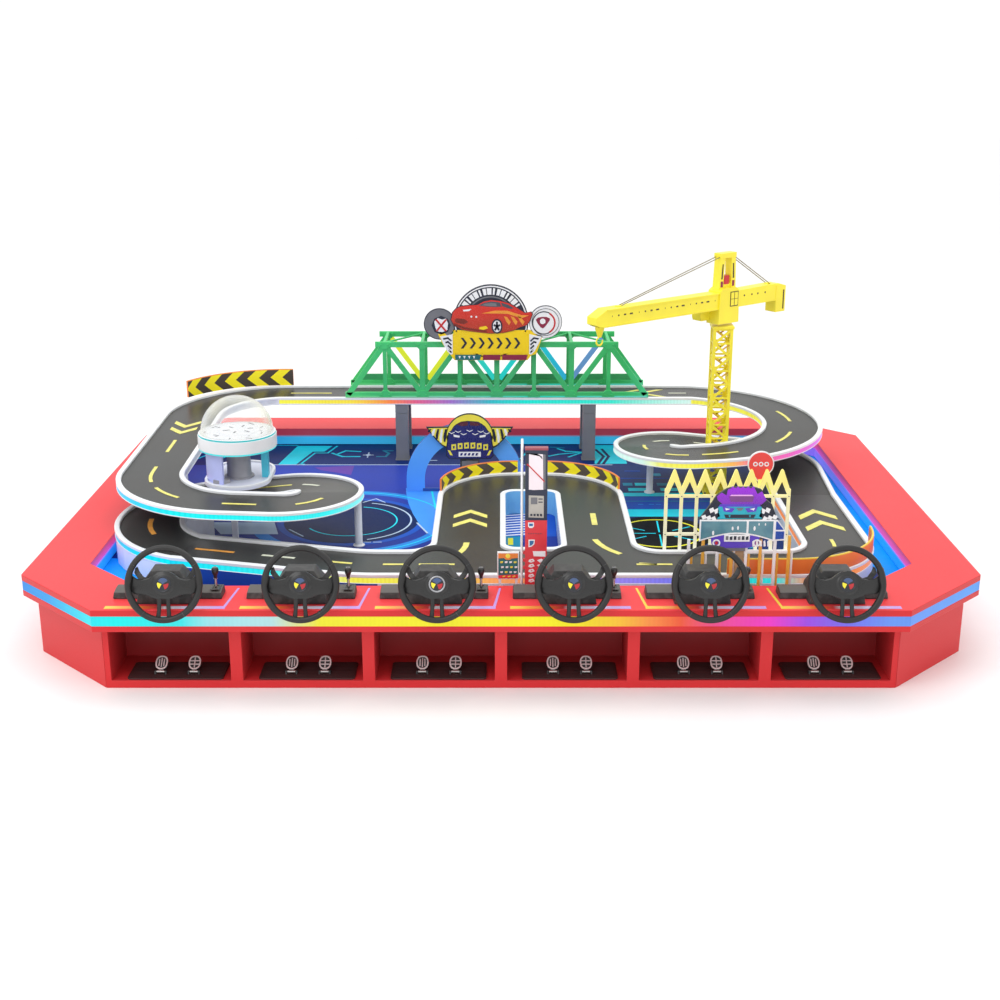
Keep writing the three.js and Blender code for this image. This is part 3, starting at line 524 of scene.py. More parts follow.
# ---- finishes ----
CORAL = finish("coral_laminate", "f5494d", rough=0.34, vary=0.02, patch=1.6, grain=420, relief=0.05,
               Specular_IOR_Level=0.1)
# On the counter's upright faces this darker red is partly painted shade.
RED = finish("red_lacquer", "d02b2f", rough=0.36, vary=0.025, patch=1.8, grain=300, relief=0.07,
             Specular_IOR_Level=0.3)
ASPHALT = finish(
    "asphalt_print",
    lambda f: f.mix(f.spread(f.noise(420.0, 4.0), 0.5, 0.66), linear("363736"),
                    f.mix(f.spread(f.noise(2.1), 0.4, 0.62), linear("505250"), linear("4d4640"))),
    rough=0.28, vary=0.12, patch=1.6, grain=900, relief=0.06, Specular_IOR_Level=0.22)
UNDERSIDE = finish("painted_underside", "7c7f86", rough=0.6, vary=0.08, relief=0.1)
# The curb's concave corners take painted shade.
CURB = finish("white_curb", "eef0f3", rough=0.3, vary=0.03, patch=9, relief=0.05, crease_shade=0.25)
SKIRT = finish("skirt_panel", "dfe6ee", rough=0.4, vary=0.05, patch=3)
GREY_SKIRT = finish("inner_skirt_panel", "9aa6b8", rough=0.45, vary=0.06, patch=3)
PAINT = finish("road_paint", "eee573", rough=0.45, vary=0.12, patch=26, grain=500, relief=0.2, wear=0.2,
               worn=(0.35, 0.34, 0.3))
ORANGE = finish("orange_panel", "f58a3c", rough=0.4, vary=0.07, patch=7)
BLACK = finish("black_plastic", "2b2c2e", rough=0.42, vary=0.12, patch=16, grain=700, relief=0.14,
               wear=0.35, worn=(0.2, 0.2, 0.2))

# ---- table: counter, plinth and playfield ----
EDGE_STOPS = [(-1850, "1f8fe8"), (-1700, "2fa5ee"), (-1500, "35e6f2"), (-1400, "22f4f1"),
              (-1160, "3feef0"), (-1060, "9fe4ec"), (-830, "b8e4e8"), (-740, "e6ea9a"), (-660, "f6f03a"),
              (250, "f8ee28"), (420, "fac63c"), (540, "f7914a"), (650, "f1603f"), (810, "f04f9e"),
              (970, "f03fc6"), (1110, "a050e6"), (1260, "7c78f6"), (1420, "6c9cf6"), (1850, "5aa2f4")]
SIDE_STOPS = [(-1390, "5b7fee"), (-500, "9a6cf0"), (300, "e05cc4"), (1390, "f2a05c")]


def edge_color(f):
    """Along the front by X, and round the sides and back by Y."""
    x, y, _ = f.xyz()
    front = f.ramp(f.spread(x, -1.85, 1.85), [((p + 1850) / 3700, linear(c)) for p, c in EDGE_STOPS])
    side = f.ramp(f.spread(y, -1.39, 1.39), [((p + 1390) / 2780, linear(c)) for p, c in SIDE_STOPS])
    return f.mix(f.spread(y, -1.05, -0.75), front, side)


EDGE_LIGHT = glow("edge_light", edge_color, 0.66, 0.012)
NODES["edge_led_strip"].data.materials.clear()
NODES["edge_led_strip"].data.materials.append(EDGE_LIGHT)
WALL_STOPS = [(-1620, "1ea0ff"), (-1380, "2cb0fb"), (-1100, "3ec0f4"), (1100, "44c8f6"), (1400, "2cb4fa"),
              (1620, "1ea0ff")]


def well_wall(f):
    """The inside of the counter: lit blue below, with a pink glow that fades into the red above."""
    x, y, z = f.xyz()
    lit = by_x(WALL_STOPS, -1620, 1620)(f)
    side = f.spread(f.math("ABSOLUTE", x), 1.4, 1.56)
    violet = f.mix(f.spread(y, -0.2, 0.9), linear("2aa0ff"), linear("b070ee"))
    lit = f.mix(f.math("MULTIPLY", side, 0.8), lit, violet)
    upper = f.mix(f.math("MULTIPLY", side, f.spread(z, 0.33, 0.29)), linear("b43a50"), linear("ff4fb4"))
    return f.mix(f.spread(z, 0.284, 0.296), lit, upper)


WELL = Finish("well_wall_print")
well_tint = well_wall(WELL)
WELL.sets(Base_Color=well_tint, Emission_Color=well_tint, Emission_Strength=0.35, Roughness=0.35)


WELL_SIDE, WELL_FRONT, WELL_BACK = 1625, -1150, 1165


def counter_face(center, normal):
    inside = abs(center.x) < WELL_SIDE and WELL_FRONT < center.y < WELL_BACK
    if abs(normal.z) < 0.5 and inside:
        return 2
    # Up-facing faces take the coral; upright faces take the darker red, partly the table's own red and
    # partly painted shade.
    return 0 if normal.z > 0.5 else 1


twin("countertop", "counter", [CORAL, RED, WELL.material], counter_face, bevel=2.5)
twin("plinth", "plinth_panels", [RED], bevel=2.0)

STATIONS = range(6)
PITCH = 491.0
BAY_PITCH = 488.7
BAY = {"half": 221.5, "low": 30.0, "high": 228.0, "back": -1112.0}
CABINET = {"half": 1465.1, "front": -1342.0, "back": -1092.0, "top": 244.0}


def bay_painted_shade(f):
    """Painted shade: the inside of a pedal bay darkens towards its back and top, where shade falls."""
    _, y, z = f.xyz()
    depth = f.spread(y, -1.34, -1.13)
    height = f.spread(z, 0.04, 0.2)
    dark = f.math("MULTIPLY", depth, f.spread(height, 0, 1, 0.55, 1.0))
    return f.mix(dark, linear("cf3236"), linear("7c0b12"))


BAY_PAINT_SHADED = finish("bay_lacquer_painted_shade", bay_painted_shade, rough=0.42, vary=0.05, patch=3.0, grain=300, relief=0.07)


def cabinet():
    """The front cabinet as one sheet of panels, with six bays sunk in it."""
    form = Form()
    edges = [(i - 2.5) * BAY_PITCH + side * BAY["half"] for i in STATIONS for side in (-1, 1)]
    xs = [-CABINET["half"], *edges, CABINET["half"]]
    zs = [0.0, BAY["low"], BAY["high"], CABINET["top"]]
    front, back, deep = CABINET["front"], CABINET["back"], BAY["back"]
    spots = {}

    def spot(x, y, z):
        return spots.setdefault((x, y, z), len(spots))

    faces, kinds = [], []
    for i in range(len(xs) - 1):
        for k in range(3):
            x0, x1, z0, z1 = xs[i], xs[i + 1], zs[k], zs[k + 1]
            bay = k == 1 and i % 2 == 1
            faces.append([spot(x0, back, z0), spot(x0, back, z1), spot(x1, back, z1), spot(x1, back, z0)])
            kinds.append(0)
            mouth = rect(x0, x1, z0, z1)
            faces.append([spot(x, deep if bay else front, z) for x, z in mouth])
            kinds.append(1 if bay else 0)
            if bay:
                for (xa, za), (xb, zb) in zip(mouth, mouth[1:] + mouth[:1]):
                    faces.append([spot(xa, front, za), spot(xb, front, zb), spot(xb, deep, zb),
                                  spot(xa, deep, za)])
                    kinds.append(1)
        for z, order in ((zs[0], 1), (zs[3], -1)):
            ring = [spot(xs[i], back, z), spot(xs[i + 1], back, z), spot(xs[i + 1], front, z),
                    spot(xs[i], front, z)]
            faces.append(ring[::order])
            kinds.append(0)
    for k in range(3):
        for x, order in ((xs[0], 1), (xs[-1], -1)):
            ring = [spot(x, front, zs[k]), spot(x, front, zs[k + 1]), spot(x, back, zs[k + 1]),
                    spot(x, back, zs[k])]
            faces.append(ring[::order])
            kinds.append(0)
    form.add(list(spots), faces, kinds)
    form.make("front_panels", [RED, BAY_PAINT_SHADED], slot="red_panel", replaces="front_cabinet", bevel=2.5)


cabinet()

# ---- roads ----
LEFT_LED = glow("left_road_light", by_x([(-1700, "2f7df0"), (-1560, "22c6f2"), (-1300, "0cf0f2"),
                                         (-700, "3df3f5"), (-400, "c8f7f8")], -1700, -400), 0.8, 0.05)
RIGHT_LED = glow("right_road_light", by_x([(640, "d9fbf0"), (720, "f3f06a"), (930, "f7ee45"),
                                           (1040, "fdb863"), (1130, "f7719c"), (1300, "f06ac0"),
                                           (1560, "c46cf0")], 640, 1560), 0.8, 0.05)
YELLOW_LED = glow("inner_bend_light", "f4ef55", 0.75, 0.05)
BACK_LED = glow("back_road_light", by_x([(-1120, "f6f24e"), (-760, "f5df4b"), (-560, "f7864e"),
                                         (-430, "e0638a"), (-250, "9c72c4"), (-60, "3fb7c4"),
                                         (120, "1fe2d0"), (560, "3fe6cf"), (960, "d6f6ef")], -1120, 960),
                0.8, 0.05)
LOW_LED = glow("low_road_light", by_x([(-1450, "25a8f0"), (-1250, "16e6f2"), (-880, "35eff2"),
                                       (-720, "d8f8b0"), (-560, "f5ef52"), (-200, "f4e95a"),
                                       (-40, "fba763"), (160, "f58a63"), (420, "9a8af0"), (640, "7f7ef0"),
                                       (820, "27dcdc"), (1050, "35e0e0"), (1180, "f58c4a"),
                                       (1520, "f5964e")], -1450, 1520), 0.8, 0.05)
BLUE_LED = glow("blue_edge_light", "2f9df4", 0.6, 0.05)


def deck_section(left_lit, right_lit):
    """A road's section with rounded curbs and a lit channel down each lit side, and each edge's material."""
    rise = [(HALF - 2, -DECK), (HALF, -23), (HALF, -21), (HALF - 1.6, -20), (HALF - 1.6, -1), (HALF, 0),
            (HALF, 9), (HALF - 3.5, 12), (HALF - 18.5, 12), (HALF - 22, 9), (HALF - 22, 0)]
    kinds = [1, 1, 1, 2 if left_lit else 1, 1, 1, 1, 1, 1, 1]
    mirror = [(-x, z) for x, z in rise[::-1]]
    back = [1, 1, 1, 1, 1, 1, 3 if right_lit else 1, 1, 1, 1]
    return rise + mirror, kinds + [0] + back + [4]


def road_piece(name, node, road, lights, left_lit, right_lit, extra=None, marks=None):
    section, kinds = deck_section(left_lit, right_lit)
    form = Form()
    form.sweep(marks or road.marks, section, kinds, road.height, ends=1)
    if extra:
        extra(form)
    return form.make(name, [ASPHALT, CURB, lights[0], lights[1], UNDERSIDE], slot="road_surface",
                     replaces=node)


def post(form, x, y, top, radius=16, kind=1):
    """A road's column with a foot and a collar."""
    profile = [(0, FLOOR), (radius + 9, FLOOR), (radius + 9, FLOOR + 4), (radius + 2, FLOOR + 7),
               (radius, FLOOR + 10), (radius, top - 12), (radius + 3, top - 9), (radius + 5, top), (0, top)]
    form.lathe(profile, 24, kind, at(x, y))


def left_extra(form):
    for x, y, s in ((-1505, 330, 1260), (-604, -448, 2590)):
        post(form, x, y, left_road.height(s) - DECK + 2)
    # skirts below both curbs of its last length
    parts, reach = 12, 700
    first, step = left_road.length - reach, reach / parts
    for i in range(parts):
        s = first + step * i
        for low, high in ((134, 142), (-142, -134)):
            corners = [left_road.at(a, b) for a, b in ((s, low), (s + step, low), (s + step, high),
                                                       (s, high))]
            form.prism([(p.x, p.y) for p in corners], FLOOR, left_road.height(s) - DECK - 0.5, 1)


def right_extra(form):
    for x, y, s in ((1405, 545, 700), (705, 305, 1800)):
        post(form, x, y, right_road.height(s) - DECK + 2)


road_piece("left_upper_road", "left_spiral", left_road, (LEFT_LED, LEFT_LED), False, True, left_extra)
road_piece("right_upper_road", "right_spiral", right_road, (RIGHT_LED, YELLOW_LED), True, True, right_extra)


def back_extra(form):
    for x in (-503, 448):
        for y in (883, 1097):
            form.box((x - 36, x + 36), (y - 36, y + 36), (FLOOR, FLOOR + 4), 5)
            form.box((x - 32, x + 32), (y - 32, y + 32), (FLOOR + 4, DECK_TOP - DECK - 48), 5)
            form.box((x - 30, x + 30), (y - 30, y + 30), (DECK_TOP - DECK - 48, DECK_TOP - DECK - 44), 5)
            form.box((x - 32, x + 32), (y - 32, y + 32), (DECK_TOP - DECK - 44, DECK_TOP - DECK + 1), 5)


GREY_COLUMN = finish("grey_column_paint", "7c7e82", rough=0.45, vary=0.06, patch=9)
section, kinds = deck_section(False, True)
back_form = Form().sweep(back_road.marks, section, kinds, DECK_TOP, ends=1)
back_extra(back_form)
back_form.make("back_road", [ASPHALT, CURB, BACK_LED, BACK_LED, UNDERSIDE, GREY_COLUMN],
               slot="road_surface", replaces="back_deck")

SKIRT_LEVELS = [(0, FLOOR), (0, 317), (1.6, 319), (1.6, 340), (0, 342), (0, 352), (3.5, 355), (20.5, 355),
                (24, 352), (24, LOW_ROAD)]
SKIRT_KINDS = [2, 1, 3, 1, 1, 1, 1, 1, 1]


def skirt_section():
    rise = [(HALF - inset, z - LOW_ROAD) for inset, z in SKIRT_LEVELS]
    mirror = [(-x, z) for x, z in rise[::-1]]
    kinds = [5, 1, 1, 1, 1, 1, 1, 1, 1]
    return rise + mirror, kinds + [0] + [1, 1, 1, 1, 1, 1, 3, 1, 2] + [4]


section, kinds = skirt_section()
low_form = Form().sweep(low_left.marks, section, kinds, LOW_ROAD, ends=1)
LOW_MATERIALS = [ASPHALT, CURB, SKIRT, LOW_LED, UNDERSIDE, GREY_SKIRT, BLUE_LED]
NAVY_SKIRT = finish("navy_skirt_panel", "12409c", rough=0.45, vary=0.08, patch=3)
low_form.make("front_left_low_road", [NAVY_SKIRT if m is SKIRT else m for m in LOW_MATERIALS],
              slot="road_surface", replaces="front_left_road")

LOOP = {"left": -283, "right": 549, "top": 277, "outer": 350, "fillet": 100}
ISLAND = {"left": 20, "right": 243, "front": -775, "back": -20, "corner": 45}
SPLIT = 700
LOW_FRONT, LOW_BACK = -1091, -805


def loop_outline(inset):
    o, left, right, top = LOOP["outer"], LOOP["left"], LOOP["right"], LOOP["top"]
    hollow = LOOP["fillet"] + inset
    points = [(LOW_LEFT_END, LOW_FRONT + inset), (SPLIT, LOW_FRONT + inset), (SPLIT, LOW_BACK - inset)]
    points += arc(right + LOOP["fillet"], LOW_BACK + LOOP["fillet"], hollow, -90, -180, 12)
    points += arc(right - o, top - o, o - inset, 0, 90, 24)
    points += arc(left + o, top - o, o - inset, 90, 180, 24)
    points += arc(left - LOOP["fillet"], LOW_BACK + LOOP["fillet"], hollow, 0, -90, 12)
    return points + [(LOW_LEFT_END, LOW_BACK - inset)]


def island_outline(outset):
    x0, x1 = ISLAND["left"] - outset, ISLAND["right"] + outset
    y0, y1 = ISLAND["front"] - outset, ISLAND["back"] + outset
    c = ISLAND["corner"] + outset
    return (arc(x0 + c, y0 + c, c, 180, 270, 8) + arc(x1 - c, y0 + c, c, 270, 360, 8)
            + arc(x1 - c, y1 - c, c, 0, 90, 8) + arc(x0 + c, y1 - c, c, 90, 180, 8))


def corner_outline(inset):
    points = [(SPLIT, LOW_FRONT + inset)] + arc(1112, -698, 393 - inset, -90, 0, 30)
    points += [(1505 - inset, -50), (1219 + inset, -50)]
    return points + arc(1112, -698, 107 + inset, 0, -90, 16) + [(SPLIT, LOW_BACK - inset)]


loop_form = Form()
n_loop = len(loop_outline(0))
loop_form.rings(loop_outline, SKIRT_LEVELS, SKIRT_KINDS, gaps=(1, n_loop - 1), holes=[island_outline(24)])
island_points, island_faces, island_kinds = [], [], []
island_levels = [(24, LOW_ROAD), (24, 352), (20.5, 355), (3.5, 355), (0, 352), (0, FLOOR)]
for k, (outset, z) in enumerate(island_levels):
    ring = island_outline(outset)
    island_points += [(x, y, z) for x, y in ring]
    m = len(ring)
    if k:
        for i in range(m):
            a, b = (k - 1) * m + i, (k - 1) * m + (i + 1) % m
            island_faces.append((a, b, b + m, a + m))
            island_kinds.append(7 if k == 5 else 1)
loop_form.add(island_points, island_faces, island_kinds)


def island_print(f):
    """Slanted blue and white stripes on the island's walls."""
    x, y, z = f.xyz()
    slant = f.math("FRACT", f.math("MULTIPLY", f.math("ADD", f.math("ADD", x, y), z), 26.0))
    stripes = f.mix(f.math("GREATER_THAN", slant, 0.5), linear("f3f8fb"), linear("1c5fb4"))
    return f.mix(f.spread(y, -0.3, -0.29), stripes, linear("7cc0ea"))


ISLAND_WALL = finish("island_wall_print", island_print, rough=0.4, vary=0.05)
loop_form.make("loop_low_road", [ASPHALT, CURB, SKIRT, LOW_LED, UNDERSIDE, GREY_SKIRT, BLUE_LED,
                                 ISLAND_WALL], slot="road_surface", replaces="hairpin_road")
corner_form = Form()
n_corner = len(corner_outline(0))
corner_form.rings(corner_outline, SKIRT_LEVELS, SKIRT_KINDS, gaps=(32, n_corner - 1))
corner_form.make("front_right_low_road", LOW_MATERIALS, slot="road_surface", replaces="front_right_road")


# ---- road markings ----
def on_road(form, road, outline, kind=0, low=0.3, high=1.3):
    """A flat mark given by (along, across) points on a road, following its bends and slopes."""
    n = len(outline)
    points = [road.at(s, across, up) for up in (low, high) for s, across in outline]
    faces = [tuple(range(n))[::-1], tuple(range(n, 2 * n))]
    faces += [(i, (i + 1) % n, n + (i + 1) % n, n + i) for i in range(n)]
    return form.add(points, faces, kind)


def dash(form, road, start, end, across=0, width=15, kind=0):
    """A strip of paint cut into short lengths, so that it bends with the road."""
    parts = max(1, round((end - start) / 45))
    near = [(start + (end - start) * i / parts, across - width / 2) for i in range(parts + 1)]
    far = [(s, across + width / 2) for s, _ in near[::-1]]
    on_road(form, road, near + far, kind)


def chevron(form, road, s, reach=1, half=62, across=0, thick=42, rise=72, kind=0):
    """An arrow stripe that points along the road, or against it with reach -1."""
    tip = [(s, across - half), (s + reach * thick, across - half), (s + reach * (thick + rise), across),
           (s + reach * thick, across + half), (s, across + half), (s + reach * rise, across)]
    on_road(form, road, tip if reach > 0 else tip[::-1], kind)


ORANGE_PAINT = finish("orange_road_paint", "f3a94a", rough=0.45, vary=0.1, patch=26, grain=500, relief=0.2)
WORN_PAINT = finish("pale_road_paint", "d9dcc8", rough=0.5, vary=0.14, patch=30, grain=500, relief=0.2)
paint = Form()
# left upper road, from the back round to the low road
for s in (700, 800):
    chevron(paint, left_road, s)
for start, end in ((1010, 1190), (1400, 1610), (1690, 1860), (2060, 2200), (2360, 2500)):
    dash(paint, left_road, start, end)
for start, end in ((2760, 2850), (2900, 3060), (3230, 3400)):
    dash(paint, left_road, start, end, kind=2 if start < 2900 else 0)
dash(paint, left_road, 3600, 3760, width=20, kind=1)
# the low roads along the front
for start, end, kind in ((40, 210, 1), (330, 470, 2), (620, 710, 0)):
    dash(paint, low_left, start, end, kind=kind)
for start, end in ((10, 110), (150, 290), (1000, 1140)):
    dash(paint, front_road, start, end)
for start, end in ((1500, 1590), (1930, 2020)):
    dash(paint, front_road, start, end, across=10)
for s in (2124, 2274):
    chevron(paint, front_road, s, across=4, half=80, thick=50, rise=90)
# right upper road
for start, end in ((520, 690), (860, 1040), (1270, 1440), (1500, 1610), (1740, 1840)):
    dash(paint, right_road, start, end)
for start, end in ((1960, 2060), (2180, 2330)):
    dash(paint, right_road, start, end, kind=2)
# back road
for start, end in ((40, 250), (470, 600), (700, 880), (980, 1160), (1260, 1440), (1980, 2070)):
    dash(paint, back_road, start, end, kind=2 if start > 600 else 0, width=13)
for s in (1860, 1960):
    chevron(paint, back_road, s, reach=-1, half=76, thick=36, rise=110)
loop_left = Road((-131, -800), 90, [(700,), (240, -90)], LOW_ROAD)
loop_right = Road((396, -50), -90, [(420,), (330, 62)], LOW_ROAD)
for s in (300, 420):
    chevron(paint, loop_left, s, half=72)
dash(paint, Road((-175, -835), 62, [(300, 28)], LOW_ROAD), 5, 150, width=24)
dash(paint, loop_right, 265, 420, width=24)
dash(paint, Road((385, -655), -80, [(330, 50)], LOW_ROAD), 0, 200, width=24)
dash(paint, Road((540, -936), -14, [(500, 8)], LOW_ROAD), 0, 140, width=15)
paint.make("road_markings", [PAINT, ORANGE_PAINT, WORN_PAINT], slot="road_surface")


# ---- barriers with arrows ----
def arrows(pitch, low, high, dark="3f3a33", bright="f6e32a", lean=1.0):
    """Arrow stripes along a wall; the limits are heights above the road."""

    def color(f):
        along, _, up = f.run()
        middle = (low + high) / 2 * MM
        away = f.math("ABSOLUTE", f.math("SUBTRACT", up, middle))
        place = f.math("ADD", along, f.math("MULTIPLY", away, lean))
        part = f.math("FRACT", f.math("DIVIDE", place, pitch * MM))
        return f.mix(f.math("GREATER_THAN", part, 0.5), linear(dark), linear(bright))

    return color


LEFT_ARROWS = finish("left_arrow_print", arrows(122, 12, 98, dark="4a423c", bright="ffef2a", lean=1.2),
                     rough=0.35, vary=0.04, Specular_IOR_Level=0.25)
LOOP_ARROWS = finish("loop_arrow_print", arrows(112, 0, 68, dark="5a5148", bright="ffee2a", lean=-1.3),
                     rough=0.35, vary=0.04, Specular_IOR_Level=0.25)
BARRIER_BACK = finish("barrier_back", "e9e4d8", rough=0.4, vary=0.06)

BARRIER_FOOT = 12.6


def barrier(name, path, low, high, road_top, face, edge, back=BARRIER_BACK):
    """A thin wall standing on a curb, printed on the side that faces the road."""
    form, thickness = Form(), 9
    section = [(-thickness / 2, low), (thickness / 2, low), (thickness / 2, high - 4),
               (thickness / 2 - 1.5, high), (-thickness / 2 + 1.5, high), (-thickness / 2, high - 4)]
    form.sweep(path, section, [1, 0, 1, 1, 1, 2], road_top, ends=1)
    return form.make(name, [face, edge, back], slot="road_surface")


def wall_path(x, y, radius, start, end):
    """Marks round a centre from one angle to another."""
    turn = end - start
    begin = (x + radius * math.cos(rad(start)), y + radius * math.sin(rad(start)))
    return walk(begin, start + 90 * math.copysign(1, turn), [(radius, turn)], bend=3)


barrier("left_arrow_barrier", [(-1083, 1124.5, 180, 0)] + [(x, y, a, s + 40) for x, y, a, s in
        wall_path(-1120, 605, 519.5, 90, 152)], BARRIER_FOOT, 98, DECK_TOP, LEFT_ARROWS, ORANGE)
barrier("loop_left_arrow_barrier", wall_path(67, -73, 341.5, 88, 172), BARRIER_FOOT, 68, LOW_ROAD,
        LOOP_ARROWS, ORANGE)
barrier("loop_right_arrow_barrier", wall_path(199, -73, 341.5, 12, 92), BARRIER_FOOT, 68, LOW_ROAD,
        LOOP_ARROWS, ORANGE)
ORANGE_FACE = finish("orange_barrier_face", "f07f3a", rough=0.35, vary=0.08, patch=5)
AMBER = finish("amber_edge", "f2cf3f", rough=0.35, vary=0.06)
barrier("corner_barrier", [(860, -1082.5, 0, 0)] + [(x, y, a, s + 252) for x, y, a, s in
        wall_path(1112, -698, 384.5, -90, 0)], BARRIER_FOOT, 75, LOW_ROAD, ORANGE_FACE, AMBER, ORANGE_FACE)


# ---- stations: wheel, base, gear lever and pedals ----
RUBBER = finish("grip_leather", "1f1e1e", rough=0.42, vary=0.12, patch=22, grain=1100, relief=0.4,
                wear=0.4, worn=(0.12, 0.115, 0.11))
SATIN_BLACK = finish("satin_black", "222222", rough=0.28, vary=0.1, patch=18, grain=800, relief=0.1,
                     wear=0.3, worn=(0.18, 0.18, 0.18))
BASE_BODY = finish("base_plastic", "2e2d2d", rough=0.46, vary=0.1, patch=14, grain=760, relief=0.22,
                   wear=0.3, worn=(0.24, 0.23, 0.22))
BASE_TOP = finish("base_top_plastic", "5d5854", rough=0.5, vary=0.08, patch=14, grain=760, relief=0.22)
STEEL = finish("brushed_steel", "b9b6b4", rough=0.3, metal=1.0, vary=0.06, patch=30, grain=900, relief=0.12)
RING = finish("silver_ring", "a9a9ad", rough=0.25, metal=0.8, vary=0.04)
BADGE_BLUE, BADGE_YELLOW, BADGE_RED, BADGE_DARK = finishes(
    ("badge_blue", "44587e", 0.2, 0.08, 60),
    ("badge_yellow", "f0e23a", 0.2, 0.05, 60),
    ("badge_red", "b52a30", 0.2, 0.05, 60),
    ("badge_dark", "26282e", 0.2, 0.08, 60))
WHEEL_Y, WHEEL_Z, WHEEL_TILT, WHEEL_SHIFT = -1390.0, 432.0, 70.0, 16.0


def hull(form, points, kind=0, place=IDENTITY, tops=None):
    """The smallest convex solid around some points; faces that look up may take another material."""
    work = bmesh.new()
    for p in points:
        work.verts.new(p)
    bmesh.ops.convex_hull(work, input=work.verts)
    bmesh.ops.dissolve_limit(work, angle_limit=rad(1), verts=work.verts, edges=work.edges)
    bmesh.ops.recalc_face_normals(work, faces=work.faces)
    work.verts.index_update()
    kinds = [tops if tops is not None and f.normal.z > 0.4 else kind for f in work.faces]
    form.add([v.co.copy() for v in work.verts], [[v.index for v in f.verts] for f in work.faces], kinds,
             place)
    work.free()


def hump(angle, middle, wide):
    """A smooth bump of height 1 on a circle of angles in degrees."""
    away = abs((angle - middle + 180) % 360 - 180) / wide
    return 0.5 + 0.5 * math.cos(math.pi * away) if away < 1 else 0.0


def wheel_rim(form):
    """The rim, with hand grips that swell inwards low on each side."""
    path, radii = [], []
    for i in range(96):
        angle = 360 * i / 96
        grip = max(hump(angle, 212, 26), hump(angle, 328, 26))
        thumb = max(hump(angle, 172, 13), hump(angle, 8, 13))
        radius = 129.5 - 1.2 * grip - 2.0 * thumb
        path.append((radius * math.cos(rad(angle)), radius * math.sin(rad(angle)), 0))
        radii.append(11.4 + 1.4 * grip + 2.0 * thumb)
    form.tube(path, radii, 16, 0, closed=True)
    for angle in (148, 236, 304, 32):
        centre = Vector((129.4 * math.cos(rad(angle)), 129.4 * math.sin(rad(angle)), 0))
        spin = Matrix.Translation(centre) @ spun(angle, "Z") @ spun(90, "X")
        form.lathe([(11.0, -1.2), (12.3, -0.9), (12.3, 0.9), (11.0, 1.2)], 20, 1, spin, closed=True)


def wheel_arms(form):
    """Bow-tie arms that thin towards the hub, and two stems down to the rim."""
    for side in (1, -1):
        outline = [(0, 46), (20, 44), (36, 35), (54, 21), (78, 15), (98, 18), (112, 27), (121, 38),
                   (123, 10), (121, -22), (112, -33), (100, -37), (82, -36), (62, -39), (40, -48),
                   (22, -54), (0, -52)]
        crown = [9, 9, 8, 5, 3, 1, -1, -3, -3, -3, -1, 1, 3, 5, 8, 9, 9]
        outline = [(side * x, y) for x, y in outline]
        n = len(outline)
        points = [(x, y, -16) for x, y in outline] + [(x, y, z - 5) for (x, y), z in zip(outline, crown)]
        points += [(side * (abs(x) * 0.96), y * 0.82, z) for (x, y), z in zip(outline, crown)]
        faces = [list(range(n)), list(range(2 * n, 3 * n))[::-1]]
        faces += [[a + i, a + n + i, a + n + (i + 1) % n, a + (i + 1) % n]
                  for a in (0, n) for i in range(n)]
        faces = faces if side > 0 else [f[::-1] for f in faces]
        form.add(points, [f[::-1] for f in faces][::-1], 1)
        strip = [(side * 16, -40, -2), (side * 16.5, -70, -5), (side * 17.5, -95, -7.5),
                 (side * 20, -124, -7)]
        form.tube(strip, [9.0, 8.0, 7.4, 9.0], 12, 1, up=(0, 0, 1), flat=0.6)


def wheel_hub(form):
    """The boss with its ring and round badge."""
    form.lathe([(0, -34), (36, -34), (43, -28), (43, -10), (46, -4), (45, 2), (38, 9), (30, 11.4),
                (0, 11.4)], 48, 1)
    form.lathe([(24.4, 11.4), (29.6, 11.4), (29.6, 13.2), (28.4, 14.2), (25.6, 14.2), (24.4, 13.2)], 48, 2,
               closed=True)
    form.lathe(rect(0, 24.4, 11.4, 12.8), 40, 3)
    form.prism(arc(0, 3, 19, 25, 155, 16) + [(-6, 5), (0, -1), (6, 5)], 12.8, 13.8, 4)
    form.prism([(-4, 0), (-19, 6)] + arc(0, 0, 20.5, 168, 232, 8), 12.8, 13.9, 5)
    form.prism([(1, -2)] + arc(0, 0, 20.5, -70, 8, 8), 12.8, 13.9, 6)
    form.lathe([(0, -104), (12, -104), (15, -101), (15, -34), (0, -34)], 24, 2)


def paddles(form):
    """Thin shift paddles behind the arms; their tips show past the rim."""
    for side in (1, -1):
        shape = [(52, 2), (74, 4), (96, 16), (112, 40), (108, 58), (100, 62), (92, 44), (78, 26), (54, 18)]
        shape = [(side * x, y) for x, y in shape]
        form.prism(shape if side > 0 else shape[::-1], -25, -22.5, 1)
        form.box(sorted((side * 46, side * 60)), (3, 17), (-24, -14), 1)


wheel = Form()
wheel_rim(wheel)
wheel_arms(wheel)
wheel_hub(wheel)
paddles(wheel)
WHEEL_MATERIALS = [RUBBER, SATIN_BLACK, RING, BADGE_DARK, BADGE_BLUE, BADGE_YELLOW, BADGE_RED]


def wheel_base(x):
    """A trapezoid housing with a wing on each side."""
    form = Form()
    lows = [(x + s * 104, y, 330.4) for s in (-1, 1) for y in (-1333, -1192)]
    sides = [(x + s * 98, y, z) for s in (-1, 1) for y, z in ((-1330, 362), (-1192, 372))]
    shoulders = [(x + s * w, y, z) for s in (-1, 1) for w, y, z in ((82, -1312, 408), (74, -1212, 416))]
    tops = [(x + s * 52, y, z) for s in (-1, 1) for y, z in ((-1292, 445.5), (-1216, 445.5))]
    hull(form, lows + sides + shoulders + tops, 0)
    for x0, x1 in ((-202.5, -92), (92, 199.5)):
        foot = [(x + u, y, 330.4) for u in (x0, x1) for y in (-1281.5, -1200.5)]
        head = [(x + u * 0.985, y, z) for u in (x0, x1) for y,
                z in ((-1275, 354), (-1240, 361), (-1206, 361))]
        hull(form, foot + head, 0, tops=1)
    return form


